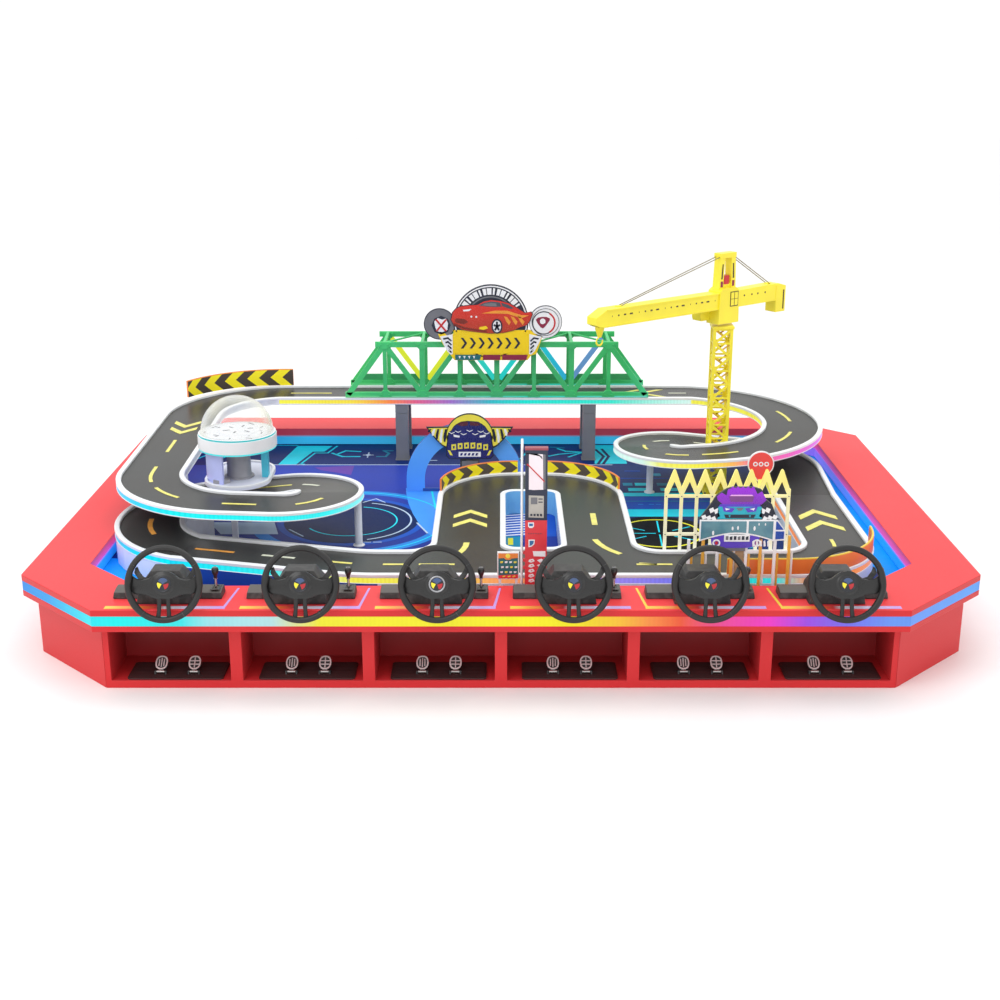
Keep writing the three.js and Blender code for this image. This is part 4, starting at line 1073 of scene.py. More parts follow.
def shaft_collar(x):
    """The flanged bush that the wheel's shaft turns in."""
    place = at(x + WHEEL_SHIFT, WHEEL_Y, WHEEL_Z, 0, WHEEL_TILT)
    profile = [(15.4, -104), (15.4, -72), (24, -72), (27, -76), (30, -92), (36, -108), (15.4, -108)]
    return Form().lathe(profile[::-1], 36, 0, place, closed=True)


LEVER_X, LEVER_Y, LEVER_Z = 172.0, -1241.0, 351.0


def gear_gate(x):
    """A framed slot round the lever's foot."""
    form = Form()
    cx, cy = x + LEVER_X, LEVER_Y
    outer = rect(cx - 17, cx + 17, cy - 27, cy + 27)
    inner = rect(cx - 9.5, cx + 9.5, cy - 16, cy + 16)
    points = [(px, py, z) for ring, z in ((outer, 361.2), (outer, 363.4), (inner, 363.4),
                                          (inner, 357)) for px, py in ring]
    faces = [(4 * k + i, 4 * k + (i + 1) % 4, 4 * k + 4 + (i + 1) % 4,
              4 * k + 4 + i) for k in range(3) for i in range(4)]
    form.add(points, faces, 0)
    return form


def gear_lever():
    form = Form()
    form.lathe(rect(0, 6, -6, 6), 20, 2, at(0, 0, 0) @ spun(90, "Y"))
    form.lathe([(0, 0), (5, 0), (4.6, 30), (4.4, 52), (0, 52)], 20, 2)
    form.lathe([(0, 46), (5.4, 46), (6.4, 50), (6.6, 56), (9.6, 63), (12.6, 71), (13.5, 79), (12.4, 85.5),
                (8.6, 89.2), (0, 90)], 32, 0)
    form.lathe([(5.2, 44), (7.2, 44.6), (7.4, 47.4), (5.2, 48)], 24, 1, closed=True)
    form.lathe([(5.2, 88.6), (7.4, 89.7), (7.2, 90.3), (5.2, 90.4)], 24, 1, closed=True)
    return form


MAT = finish("bay_mat", "3a1b1c", rough=0.62, vary=0.12, patch=12, grain=900, relief=0.35)
PEDAL_RING = finish("pedal_ring", "e6dcdc", rough=0.28, metal=0.35, vary=0.06, patch=30, grain=800,
                    wear=0.5, worn=(0.5, 0.45, 0.44))
PEDAL_GAP, PEDAL_SHIFT, PEDAL_Y, PEDAL_Z, PEDAL_LEAN = 62.0, 12.0, -1292.0, 44.0, -50.0


def pedal_plate(x):
    """A rubber-covered plate on the bay's floor with two hinge brackets."""
    form = Form()
    outline = [(x - 170, -1334), (x + 170, -1334), (x + 178, -1326), (x + 178, -1196), (x + 170, -1188),
               (x - 170, -1188), (x - 178, -1196), (x - 178, -1326)]
    form.prism(outline, 30.3, 37, 0)
    for i in range(11):
        form.box((x - 168, x + 168), (-1326 + 12.4 * i, -1322 + 12.4 * i), (37, 38.2), 0)
    for side in (-1, 1):
        for ear in (-1, 1):
            ex = x + side * PEDAL_GAP + ear * 19.5
            ear_outline = [(PEDAL_Y - 10, 37)] + arc(PEDAL_Y, PEDAL_Z, 6, 180, 0, 8) + [(PEDAL_Y + 10, 37)]
            turned = Matrix(((0, 0, 1, 0), (1, 0, 0, 0), (0, 1, 0, 0), (0, 0, 0, 1)))
            form.prism(ear_outline[::-1], ex - 2.5, ex + 2.5, 1, turned)
    return form


def pad_outline(half_wide, half_high, middle=36, steps=32):
    """An upright oval that is a little squarer than an ellipse."""
    points = []
    for i in range(steps):
        c, s = math.cos(2 * math.pi * i / steps), math.sin(2 * math.pi * i / steps)
        points.append((half_wide * math.copysign(abs(c) ** 0.8, c),
                       middle + half_high * math.copysign(abs(s) ** 0.85, s)))
    return points


def band(form, outer, inner, low, high, kind, place):
    """A flat ring between two outlines that have the same number of points."""
    n = len(outer)
    points = [(u, v, w) for ring, w in ((outer, low), (outer, high), (inner, high), (inner, low)) for u,
              v in ring]
    faces = []
    for k in range(4):
        for i in range(n):
            a, b = k * n + i, k * n + (i + 1) % n
            c, d = ((k + 1) % 4) * n + (i + 1) % n, ((k + 1) % 4) * n + i
            faces.append((a, b, c, d))
    form.add(points, faces, kind, place)


def pedal(grid):
    """An oval pad with a bright rim; raised bars fill it as a grille or a grid."""
    form = Form()
    form.prism(pad_outline(23, 28), -5, 3, 0, UPRIGHT)
    band(form, pad_outline(23, 28), pad_outline(17.6, 22.6), 3, 5, 1, UPRIGHT)
    if grid:
        form.prism(rect(-2, 2, 15, 57), 3, 5, 1, UPRIGHT)
        for level in (29, 43):
            form.prism(rect(-17, 17, level - 2, level + 2), 3, 4.8, 1, UPRIGHT)
    else:
        for across in (-9, 0, 9):
            low = 17 if across == 0 else 21
            high = 55 if across == 0 else 51
            bar = rect(across - 2, across + 2, low, high)
            form.prism(bar, 3, 4.8, 1, UPRIGHT)
    form.prism([(-8, 2), (8, 2), (9, 12), (-9, 12)], -4.5, 1.5, 2, UPRIGHT)
    form.lathe(rect(0, 6, -15, 15), 20, 2, spun(90, "Y"))
    return form


LINE_STOPS = [(-225, "f3dc3f"), (-150, "f6a83c"), (-60, "f0662f"), (-20, "d63b3f"), (10, "f4eef6"),
              (90, "d9cfee"), (210, "c79ae6")]


def line_color(station):
    def color(f):
        x = f.math("SUBTRACT", f.xyz()[0], station * MM)
        part = f.spread(x, -0.225, 0.21)
        return f.ramp(part, [((p + 225) / 435, linear(c)) for p, c in LINE_STOPS])

    return color


LINE_LOW, LINE_HIGH = 330.2, 330.9
lever = gear_lever()
brake, accelerator = pedal(False), pedal(True)
for i in STATIONS:
    number = i + 1
    x = (i - 2.5) * PITCH
    bay = (i - 2.5) * BAY_PITCH + PEDAL_SHIFT
    tilted = at(x + WHEEL_SHIFT, WHEEL_Y, WHEEL_Z, 0, WHEEL_TILT)
    materials = [BADGE_DARK if m is RING and number != 3 else m for m in WHEEL_MATERIALS]
    wheel.make(f"wheel_{number}", materials, f"steering_wheel_{number}", "grip_rubber",
               f"steering_wheel_{number}", smooth=40, place=tilted)
    wheel_base(x).make(f"housing_{number}", [BASE_BODY, BASE_TOP], slot="black_plastic",
                       replaces=f"wheel_base_{number}", bevel=7)
    shaft_collar(x).make(f"shaft_collar_{number}", [SATIN_BLACK], slot="black_plastic")
    gear_gate(x).make(f"gear_gate_{number}", [SATIN_BLACK], slot="black_plastic")
    lever.make(f"lever_{number}", [SATIN_BLACK, RING, STEEL], f"gear_lever_{number}", "black_plastic",
               f"gear_lever_{number}", place=at(x + LEVER_X, LEVER_Y, LEVER_Z))
    pedal_plate(bay).make(f"pedal_plate_{number}", [MAT, BLACK], slot="black_steel",
                          replaces=f"pedal_base_{number}", bevel=0.6)
    for side, form, body in ((-1, brake, "brake_pedal"), (1, accelerator, "accelerator_pedal")):
        form.make(f"{body}_pad_{number}", [BLACK, PEDAL_RING, STEEL], f"{body}_{number}", "pedal_steel",
                  f"{body}_{number}", place=at(bay + side * PEDAL_GAP, PEDAL_Y, PEDAL_Z, 0, PEDAL_LEAN),
                  bevel=0.7)
    line = (x - 212, x + 226)
    stripe = Form().box(line, (-1376, -1350), (LINE_LOW, LINE_HIGH))
    if number != 4:
        corner, lean = (line[0] + 4, -20) if number > 4 else (line[1] - 4, 20)
        low_end, high_end = (corner, -1350), (corner + lean, -1170)
        stripe.prism([(low_end[0] - 5, low_end[1]), (low_end[0] + 5, low_end[1]),
                      (high_end[0] + 4, high_end[1]), (high_end[0] - 4, high_end[1])], LINE_LOW, LINE_HIGH)
    line_print = finish(f"counter_line_print_{number}", line_color(x), rough=0.3, vary=0.03)
    stripe.make(f"counter_line_{number}", [line_print], slot="red_panel")


# ---- the truss bridge ----
GREEN = finish("bridge_paint", by_x([(-790, "56e07f"), (-600, "43c873"), (0, "45bb72"), (620, "36c06b"),
                                     (760, "4fe0a0")], -790, 760), rough=0.4, vary=0.07, patch=8)
DARK_GREEN = finish("parapet_paint", "3aa467", rough=0.45, vary=0.08, patch=8)
LIT_YELLOW = glow("lit_yellow_bar", "e3ef3c", 0.7)
LIT_CYAN = glow("lit_cyan_bar", by_x([(-120, "37ded0"), (160, "22d8dc"), (420, "3a9fe0")], -120, 420), 0.7)
LIT_BLUE = glow("lit_blue_bar", "6fa3dc", 0.6)
LIT_MINT = glow("lit_mint_chord", by_x([(-790, "7ff09a"), (-300, "8fe8c8"), (200, "3df0d8"),
                                        (760, "7ff5e4")], -790, 760), 0.45)
BRIDGE_X, BAY_WIDTH = -21.0, 187.0
FRONT_TRUSS, BACK_TRUSS = 855.0, 1125.0
CHORD_LOW, CHORD_HIGH = 588.0, 844.5


def beam(form, start, end, wide, deep, kind=0):
    """A square bar in a plane of constant Y: wide within the plane and deep along Y."""
    a, b = Vector(start), Vector(end)
    along = (b - a).normalized()
    side = along.cross(Vector((0, 1, 0))) * wide / 2
    back = Vector((0, deep / 2, 0))
    points = [p + s * side + t * back for p in (a, b) for s in (-1, 1) for t in (-1, 1)]
    form.add(points, BOX_FACES, kind)


def gusset(form, x, z, y, wide, high, down, kind=0):
    """A plate over a joint, with two bolts."""
    s = -1 if down else 1
    shape = [(x - wide / 2, z), (x - wide / 2, z + s * high * 0.45), (x - wide / 5, z + s * high),
             (x + wide / 5, z + s * high), (x + wide / 2, z + s * high * 0.45), (x + wide / 2, z)]
    form.board(shape if s > 0 else shape[::-1], y - 11, y + 11, kind)
    for side in (-1, 1):
        place = at(x + side * wide * 0.28, y - 11, z + s * high * 0.3) @ spun(90, "X")
        form.lathe([(0, -1), (4, -1), (4, 2), (2.6, 3.4), (0, 3.4)], 10, kind, place)


def truss(y, lit):
    form = Form()
    left, right = BRIDGE_X - 763, BRIDGE_X + 763
    at_bay = [BRIDGE_X + k * BAY_WIDTH for k in range(-3, 4)]
    beam(form, (left, y, CHORD_LOW), (right, y, CHORD_LOW), 27, 16)
    beam(form, (at_bay[0] - 46, y, CHORD_HIGH), (at_bay[6] + 46, y, CHORD_HIGH), 27, 16)
    beam(form, (left + 14, y, CHORD_LOW), (at_bay[0], y, CHORD_HIGH), 27, 16)
    beam(form, (right - 14, y, CHORD_LOW), (at_bay[6], y, CHORD_HIGH), 27, 16)
    for k, x in enumerate(at_bay):
        beam(form, (x, y, CHORD_LOW), (x, y, CHORD_HIGH), 27 if k % 2 else 20, 15)
        gusset(form, x, CHORD_HIGH + 10, y, 64, 33, True)
        gusset(form, x, CHORD_LOW - 10, y, 62, 32, False)
    for k in (1, 3, 5):
        for side in (-1, 1):
            kind = {1: 1, 3: 2, 5: 2 if side < 0 else 3}[k] if lit else 0
            beam(form, (at_bay[k], y, CHORD_LOW), (at_bay[k + side], y, CHORD_HIGH), 25, 14, kind)
    form.box((left + 6, right - 6), (y - 9.2, y - 8), (CHORD_LOW - 13, CHORD_LOW - 5), 5)
    return form


truss(FRONT_TRUSS, False).make("front_truss", [GREEN, LIT_YELLOW, LIT_CYAN, LIT_BLUE, DARK_GREEN, LIT_MINT],
                               slot="bridge_green", replaces="bridge_front_truss", bevel=1.6)
back_side = truss(BACK_TRUSS, True)
back_side.box((BRIDGE_X - 733, BRIDGE_X + 733), (1121, 1131), (574.6, 634), 4)
for k in range(-3, 4):
    x = BRIDGE_X + k * BAY_WIDTH
    back_side.box((x - 7, x + 7), (864, 1117), (842, 858), 0)
    if k < 3:
        near, far = (x, x + BAY_WIDTH) if k % 2 else (x + BAY_WIDTH, x)
        back_side.tube([(near, 872, 850), (far, 1122, 850)], 5, 8, 0)
back_side.make("back_truss", [GREEN, LIT_YELLOW, LIT_CYAN, LIT_BLUE, DARK_GREEN, LIT_MINT],
               slot="bridge_green", replaces="bridge_back_truss", bevel=1.6)

# ---- the sign on the bridge ----
INK, SIGN_WHITE, SIGN_GREY = finishes(
    ("sign_ink", "1d2236", 0.3, 0.08, 20),
    ("sign_white", "f3f4f6", 0.28, 0.03, 20),
    ("sign_grey", "73747a", 0.35, 0.05, 16))
CAR_RED = finish("car_red_print", lambda f: f.mix(f.spread(f.xyz()[2], 0.92, 1.06), linear("b83a22"),
                                                  linear("e3261f")), rough=0.22, vary=0.05, patch=14)
FLAME, SIGN_YELLOW, WINDOW, SIGN_RED, TEAL, MAROON, DARK_RED_PRINT = finishes(
    ("flame_orange_print", "f09a30", 0.25, 0.08, 20),
    ("sign_yellow", "fbd60f", 0.28, 0.04, 14),
    ("window_print", "4b4d58", 0.15, 0.12, 20),
    ("sign_red", "c9252c", 0.28, 0.05, 20),
    ("sign_teal", "1d6c70", 0.3, 0.08, 20),
    ("sign_maroon", "8d2142", 0.3, 0.06, 20),
    ("dark_red_print", "7d2417", 0.25, 0.08, 20))
SIGN_X, SIGN_Z = -50.0, 964.0
LAYER = 0.9


class Sign:
    """Thin boards on top of each other, in X and Z from the sign's own middle."""

    def __init__(self, x, z, front):
        self.form, self.x, self.z, self.front = Form(), x, z, front

    def plate(self, outline, kind, level, thick=None):
        """A board whose face stands a number of layers proud; thick reaches back from that face."""
        face = self.front - level * LAYER
        outline = [(self.x + u, self.z + v) for u, v in outline]
        area = sum(a[0] * b[1] - b[0] * a[1] for a, b in zip(outline, outline[1:] + outline[:1]))
        self.form.board(outline if area > 0 else outline[::-1], face, face + (thick or LAYER + 0.5), kind)

    def ring(self, u, v, outer, inner, kind, level, start=0, end=360, steps=48):
        """A flat ring, or a part of one."""
        shape = arc(u, v, outer, start, end, steps)
        if end - start < 360:
            return self.plate(shape + arc(u, v, inner, end, start, steps), kind, level)
        face = self.front - level * LAYER
        turned = at(self.x + u, face + LAYER + 0.5, self.z + v) @ spun(90, "X")
        self.form.lathe(rect(inner, outer, 0, LAYER + 0.5), steps, kind, turned, closed=True)


def block_marks(sign, count, start, end, inner, outer, kind, level):
    """Blocks of changing width round an arc, in place of lettering."""
    step = (end - start) / count
    for i in range(count):
        half = step * (0.2 + 0.14 * ((i * 5) % 3))
        middle = start + (i + 0.5) * step
        block = arc(0, 0, outer, middle - half, middle + half, 4)
        sign.plate(block + arc(0, 0, inner, middle + half, middle - half, 4), kind, level)


def racing_sign():
    sign = Sign(SIGN_X, SIGN_Z, 820)
    sign.plate(circle(0, 0, 186, 72), 0, 0, 14)
    sign.ring(0, 0, 180, 174, 1, 1, steps=72)
    block_marks(sign, 15, 28, 158, 136, 168, 1, 1)
    sign.ring(0, 0, 128, 122, 2, 1, 20, 165)
    sign.plate([(-190, -40), (-182, -58), (-215, -70), (-232, -52), (-262, -60), (-246, -98), (-220, -140),
                (-196, -172), (-182, -192), (182, -192), (200, -168), (226, -160), (246, -100), (256, -70),
                (214, -56), (196, -40)], 5, 1, 14)
    # hatched wings at the plate's two ends
    for side in (-1, 1):
        wing = [(side * u, v) for u, v in ((190, -60), (214, -66), (252, -72), (240, -102), (218, -146),
                                           (200, -164), (190, -160))]
        sign.plate(wing, 1, 2)
        for row in range(4):
            low = -92 - 19 * row
            reach = 238 - 11 * row
            sign.plate([(side * 194, low), (side * 212, low + 17), (side * reach, low + 12),
                        (side * (reach - 3), low + 4), (side * 214, low + 8), (side * 198, low - 7)], 0, 3)
    # yellow plate with arrow marks instead of a word, and three small panels below it
    sign.plate([(-184, -42), (-170, -50), (170, -50), (186, -46), (190, -60), (188, -158), (-188, -158),
                (-186, -60)], 5, 4)
    for i in range(7):
        u = -150 + 44 * i
        sign.plate([(u, -78), (u + 13, -78), (u + 32, -105), (u + 13, -132), (u, -132), (u + 19, -105)],
                   0, 5)
    sign.plate([(-178, -164), (-48, -164), (-56, -190), (-178, -190)], 8, 4)
    sign.plate([(-38, -164), (46, -164), (46, -190), (-40, -190)], 9, 4)
    sign.plate([(56, -164), (182, -164), (176, -190), (56, -190)], 9, 4)
    for u in (-156, -132, -108, -84):
        sign.plate([(u - 6, -170), (u + 6, -170), (u, -184)], 1, 5)
    # the car
    body = [(-196, 12), (-188, 48), (-172, 66), (-150, 78), (-100, 84), (-66, 86), (-36, 102), (0, 110),
            (46, 105), (92, 92), (130, 70), (168, 46), (196, 52), (204, 40), (190, 4), (176, -14),
            (140, -26), (112, -40), (64, -52), (0, -56), (-74, -48), (-138, -38), (-180, -16)]
    sign.plate([(u * 1.02, v * 1.03) for u, v in body], 0, 6, 4)
    sign.plate(body, 3, 7)
    sign.plate([(-60, 84), (-34, 97), (4, 104), (44, 99), (52, 78), (26, 76), (-20, 78)], 6, 8)
    sign.plate([(-46, 84), (-28, 93), (2, 97), (26, 94), (30, 80), (-4, 80)], 2, 9)
    sign.plate([(56, 80), (50, 98), (84, 88), (114, 70), (96, 66)], 6, 8)
    sign.plate([(-46, 44), (20, 58), (80, 58), (150, 36), (188, 34), (150, 20), (84, 42), (20, 44)], 4, 8)
    for u in (64, 98, 132):
        sign.plate([(u, 30), (u + 16, 26), (u + 34, 2), (u + 26, -14), (u + 12, 4)], 4, 8)
    sign.plate([(-138, 62), (-96, 66), (-106, 56), (-134, 54)], 1, 8)
    sign.plate([(-172, 20), (-130, 16), (-112, 2), (-132, -10), (-168, -4), (-180, 6)], 10, 8)
    sign.plate([(-56, -24), (-24, -18), (-14, -30), (-36, -38), (-58, -34)], 5, 8)
    sign.plate([(-186, -14), (-130, -34), (-72, -44), (-20, -50), (-22, -40), (-74, -34), (-132, -24),
                (-180, -4)], 10, 8)
    for u, v in ((-96, 28), (-72, 27)):
        sign.plate(circle(u, v, 5, 12), 1, 8)
    # its front wheel
    wheel_at = [(30 + 27 * math.cos(rad(a)), -20 + 37 * math.sin(rad(a))) for a in range(0, 360, 12)]
    hub_at = [(30 + 20 * math.cos(rad(a)), -20 + 29 * math.sin(rad(a))) for a in range(0, 360, 12)]
    sign.plate(wheel_at, 0, 9, 3)
    sign.plate(hub_at, 1, 10)
    for a in range(0, 360, 72):
        c, s = math.cos(rad(a + 18)), math.sin(rad(a + 18))
        sign.plate([(30 + 5 * s, -20 - 5 * c), (30 + 17 * c + 5 * s, -20 + 24 * s - 5 * c),
                    (30 + 17 * c - 5 * s, -20 + 24 * s + 5 * c), (30 - 5 * s, -20 + 5 * c)], 0, 11)
    # grey disc with a crossed blob on the left
    sign.plate(circle(-254, -10, 78, 48), 2, 0, 12)
    sign.ring(-254, -10, 78, 74, 0, 1)
    sign.plate(circle(-246, -16, 47, 8), 0, 1)
    sign.plate([(-280, 2), (-262, 20), (-240, 12), (-222, 18), (-212, -6), (-216, -40), (-240, -50),
                (-268, -46), (-276, -22)], 1, 2)
    for side in (-1, 1):
        cross = [(-246 - side * 30, 12), (-246 - side * 20, 14), (-246 + side * 28, -44),
                 (-246 + side * 18, -46)]
        sign.plate(cross, 7, 3 if side < 0 else 4)
    # white disc with rings on the right
    sign.plate(circle(270, 0, 82, 48), 0, 0, 12)
    sign.plate(circle(270, 0, 79, 48), 1, 1)
    sign.ring(270, 0, 68, 65.5, 0, 2)
    sign.ring(262, -4, 58, 53, 0, 2, 60, 300)
    sign.ring(262, -4, 58, 50, 7, 2, -60, 60)
    sign.plate([(222, 12), (232, 22), (250, 26), (274, 26), (292, 18), (290, 8), (272, -18), (258, -32),
                (246, -26), (232, -8)], 9, 2)
    sign.plate(circle(256, 4, 14, 20), 1, 3)
    sign.plate(rect(-120, 120, -108, -128), 2, -14, 18)
    sign.form.make("racing_sign", [INK, SIGN_WHITE, SIGN_GREY, CAR_RED, FLAME, SIGN_YELLOW, WINDOW,
                                   SIGN_RED, TEAL, MAROON, DARK_RED_PRINT], slot="sign_print",
                   replaces="bridge_sign")


racing_sign()

# ---- the tower crane ----
YELLOW = finish("crane_yellow_paint", "fff03c", rough=0.36, vary=0.05, patch=9, grain=420, relief=0.08)
YELLOW_SHADE = finish("crane_inner_paint", "d9ab30", rough=0.45, vary=0.08, patch=9)
DARK_MARK = finish("crane_mark_print", "4a3a1c", rough=0.4, vary=0.15, patch=30)
WIRE = finish("steel_wire", "8d8467", rough=0.35, metal=0.6, vary=0.1, patch=30)
CRANE_X, CRANE_Y, MAST_TOP, JIB_TURN = 1015.0, 312.0, 1047.5, 218


def crane_mast():
    """Corner posts tied by rings and crossed bars on all four faces, on a bolted foot."""
    form = Form()
    x, y, reach = CRANE_X, CRANE_Y, 39.0
    form.box((x - 60, x + 60), (y - 60, y + 60), (FLOOR, FLOOR + 8))
    form.box((x - 52, x + 52), (y - 52, y + 52), (FLOOR + 8, FLOOR + 14))
    form.box((x - 50, x + 50), (y - 50, y + 50), (MAST_TOP - 12, MAST_TOP))
    for sx in (-1, 1):
        for sy in (-1, 1):
            px, py = x + sx * reach, y + sy * reach
            form.box((px - 7, px + 7), (py - 7, py + 7), (FLOOR + 12, MAST_TOP - 10))
            bolt = at(x + sx * 52, y + sy * 52, FLOOR + 8)
            form.lathe([(0, 0), (6, 0), (6, 4), (4, 6), (0, 6)], 6, 2, bolt)
    bays = 12
    low = FLOOR + 18
    rise = (MAST_TOP - 16 - low) / bays
    for i in range(4):
        turn = at(x, y, 0, 90 * i)
        for k in range(bays + 1):
            z = low + k * rise
            form.box((-reach, reach), (-reach - 4.5, -reach + 3), (z - 4, z + 4), 0, turn)
        for k in range(bays):
            z = low + k * rise
            side = 1 if (k + i) % 2 else -1
            part = Form()
            beam(part, (-side * reach, -reach, z), (side * reach, -reach, z + rise), 11, 8)
            form.add(part.points, part.faces, 0, turn)
            part = Form()
            beam(part, (-side * reach, -reach + 1, z + rise), (side * 4, -reach + 1, z + rise / 2), 7, 6, 1)
            form.add(part.points, part.faces, 1, turn)
    return form


crane_mast().make("mast", [YELLOW, YELLOW_SHADE, WIRE], slot="crane_yellow", replaces="crane_mast",
                  bevel=1.0)


def crane_jib():
    """The slewing part, along its own X: boom, slewing head, cab, tower, stays, counterweight and hook."""
    form = Form()
    boom = [(-360, 1129), (-60, 1127), (60, 1127), (770, 1127), (800, 1141), (800, 1173), (740, 1203),
            (-60, 1203), (-336, 1209), (-386, 1195), (-386, 1150)]
    form.board(boom, -30, 30, 0)
    form.board([(-386, 1074), (-322, 1074), (-320, 1200), (-340, 1208), (-386, 1194)], -32, 32, 0)
    form.board([(-66, 1060), (66, 1060), (60, 1210), (40, 1222), (-40, 1222), (-60, 1210)], -38, 38, 0)
    for side in (-1, 1):
        near, far = side * 31.5 - 1.5, side * 31.5 + 1.5
        form.board([(-60, 1203), (-50, 1196), (735, 1196), (742, 1203)], near, far, 0)
        form.board([(60, 1127), (760, 1127), (772, 1134), (60, 1134)], near, far, 0)
    # small dark rivets and plates along the boom, on both sides
    for side in (-1, 1):
        y = side * 30.6
        for i in range(17):
            u = 84 + 39 * i
            w = 3 + 5 * ((i * 7) % 4)
            h = 3.5 + 1.6 * ((i * 3) % 3)
            form.box((u, u + w), sorted((y, y - side * 1.2)), (1172 - h, 1172 + h), 1)
        for u in (-110, -160, -200, -250):
            form.box((u, u + 8), sorted((y, y - side * 1.2)), (1172, 1180), 1)
    for side in (-1, 1):
        form.box((-376, -368), sorted((side * 30, side * 33.2)), (1086, 1176), 1)
    # a four-pane window in the slewing head
    form.box((-56, -4), (37.5, 39.5), (1136, 1204), 1)
    for u in (-52, -28):
        for w in (1140, 1171):
            form.box((u, u + 20), (39, 40.3), (w, w + 29), 0)
    # A-frame with cross panel
    for side in (-1, 1):
        legs = [(side * 56, 1200), (side * 28, 1200), (side * 20, 1362), (side * 48, 1362)]
        form.board(legs if side < 0 else legs[::-1], -20, 20, 0)
        slot = [(side * 42, 1262), (side * 33, 1262), (side * 30, 1330), (side * 37, 1330)]
        form.board(slot if side < 0 else slot[::-1], -21, 21, 1)
        form.box(sorted((side * 30, side * 44)), (-21.5, 21.5), (1226, 1252), 3)
    form.box((-50, 50), (-22, 22), (1356, 1378), 0)
    form.box((-38, 38), (-11, 11), (1214, 1238), 0)
    form.box((-16, 16), (-14, 14), (1236, 1276), 4)
    # cab with a four-pane window, and a plate at its side
    form.board([(24, 1074), (118, 1074), (124, 1090), (124, 1150), (118, 1156), (24, 1156)], -74, -20, 0)
    form.box((60, 112), (-75.2, -73), (1096, 1148), 1)
    for u in (64, 88):
        for w in (1100, 1124):
            form.box((u, u + 20), (-76, -74.6), (w, w + 20), 0)
    form.board([(-14, 1078), (30, 1078), (26, 1120), (-4, 1110)], -40, -36, 0)
    # stays with turnbuckles, then the hook block
    for y in (-12, 12):
        form.tube([(650, y * 0.6, 1204), (300, y * 0.8, 1296), (38, y, 1364)], 2.2, 8, 2)
        form.tube([(-296, y, 1208), (-38, y, 1364)], 2.2, 8, 2)
    for u, w in ((650, 1200), (-296, 1204)):
        form.box((u - 10, u + 10), (-10, 10), (w - 6, w + 8), 0)
    form.lathe([(0, 1082), (8, 1082), (15, 1104), (20, 1118), (20, 1130), (0, 1130)], 24, 0, at(754, 0, 0))
    hook = [(754 + 17.5 * math.cos(rad(a)), 0, 1064 + 17.5 * math.sin(rad(a))) for a in range(-200, 61, 12)]
    form.tube(hook, [2.4 + 2.0 * math.sin(math.pi * i / (len(hook) - 1)) for i in range(len(hook))], 10, 0,
              up=(0, 1, 0))
    form.tube([(763, 0, 1078), (756, 0, 1086)], 4, 10, 0, up=(0, 1, 0))
    return form


crane_jib().make("jib", [YELLOW, DARK_MARK, WIRE, MAROON, SIGN_RED], "crane_jib", "crane_yellow",
                 "crane_jib", bevel=1.2, place=at(CRANE_X, CRANE_Y, 0, JIB_TURN))


# ---- the domed tower ----
TOWER_WHITE, TOWER_PLATE, TOWER_GREY, LAVENDER, CYAN_PANEL = finishes(
    ("tower_white", "eceef2", 0.3, 0.03, 10),
    ("tower_plate", "dde1f0", 0.35, 0.05, 10),
    ("tower_grey", "9b9aa0", 0.4, 0.1, 14),
    ("lavender_panel", "bcc3f5", 0.35, 0.06, 12),
    ("cyan_panel", "4cc4de", 0.3, 0.06, 12))
CYAN_RING = glow("cyan_ring", "45d6dc", 0.5)
CYAN_GLOW = glow("cyan_under_ring", "62ecf0", 0.7)
DOME_X, DOME_Y, DOME_PLATE, DRUM_LOW, DRUM_TOP = -1128.0, -274.0, 488.0, 630.0, 701.0


def curved_panel(form, x, y, outer, inner, start, end, low, high, kind, steps=24):
    """An upright wall that follows a circle."""
    shape = arc(x, y, outer, start, end, steps) + arc(x, y, inner, end, start, steps)
    form.prism(shape, low, high, kind)


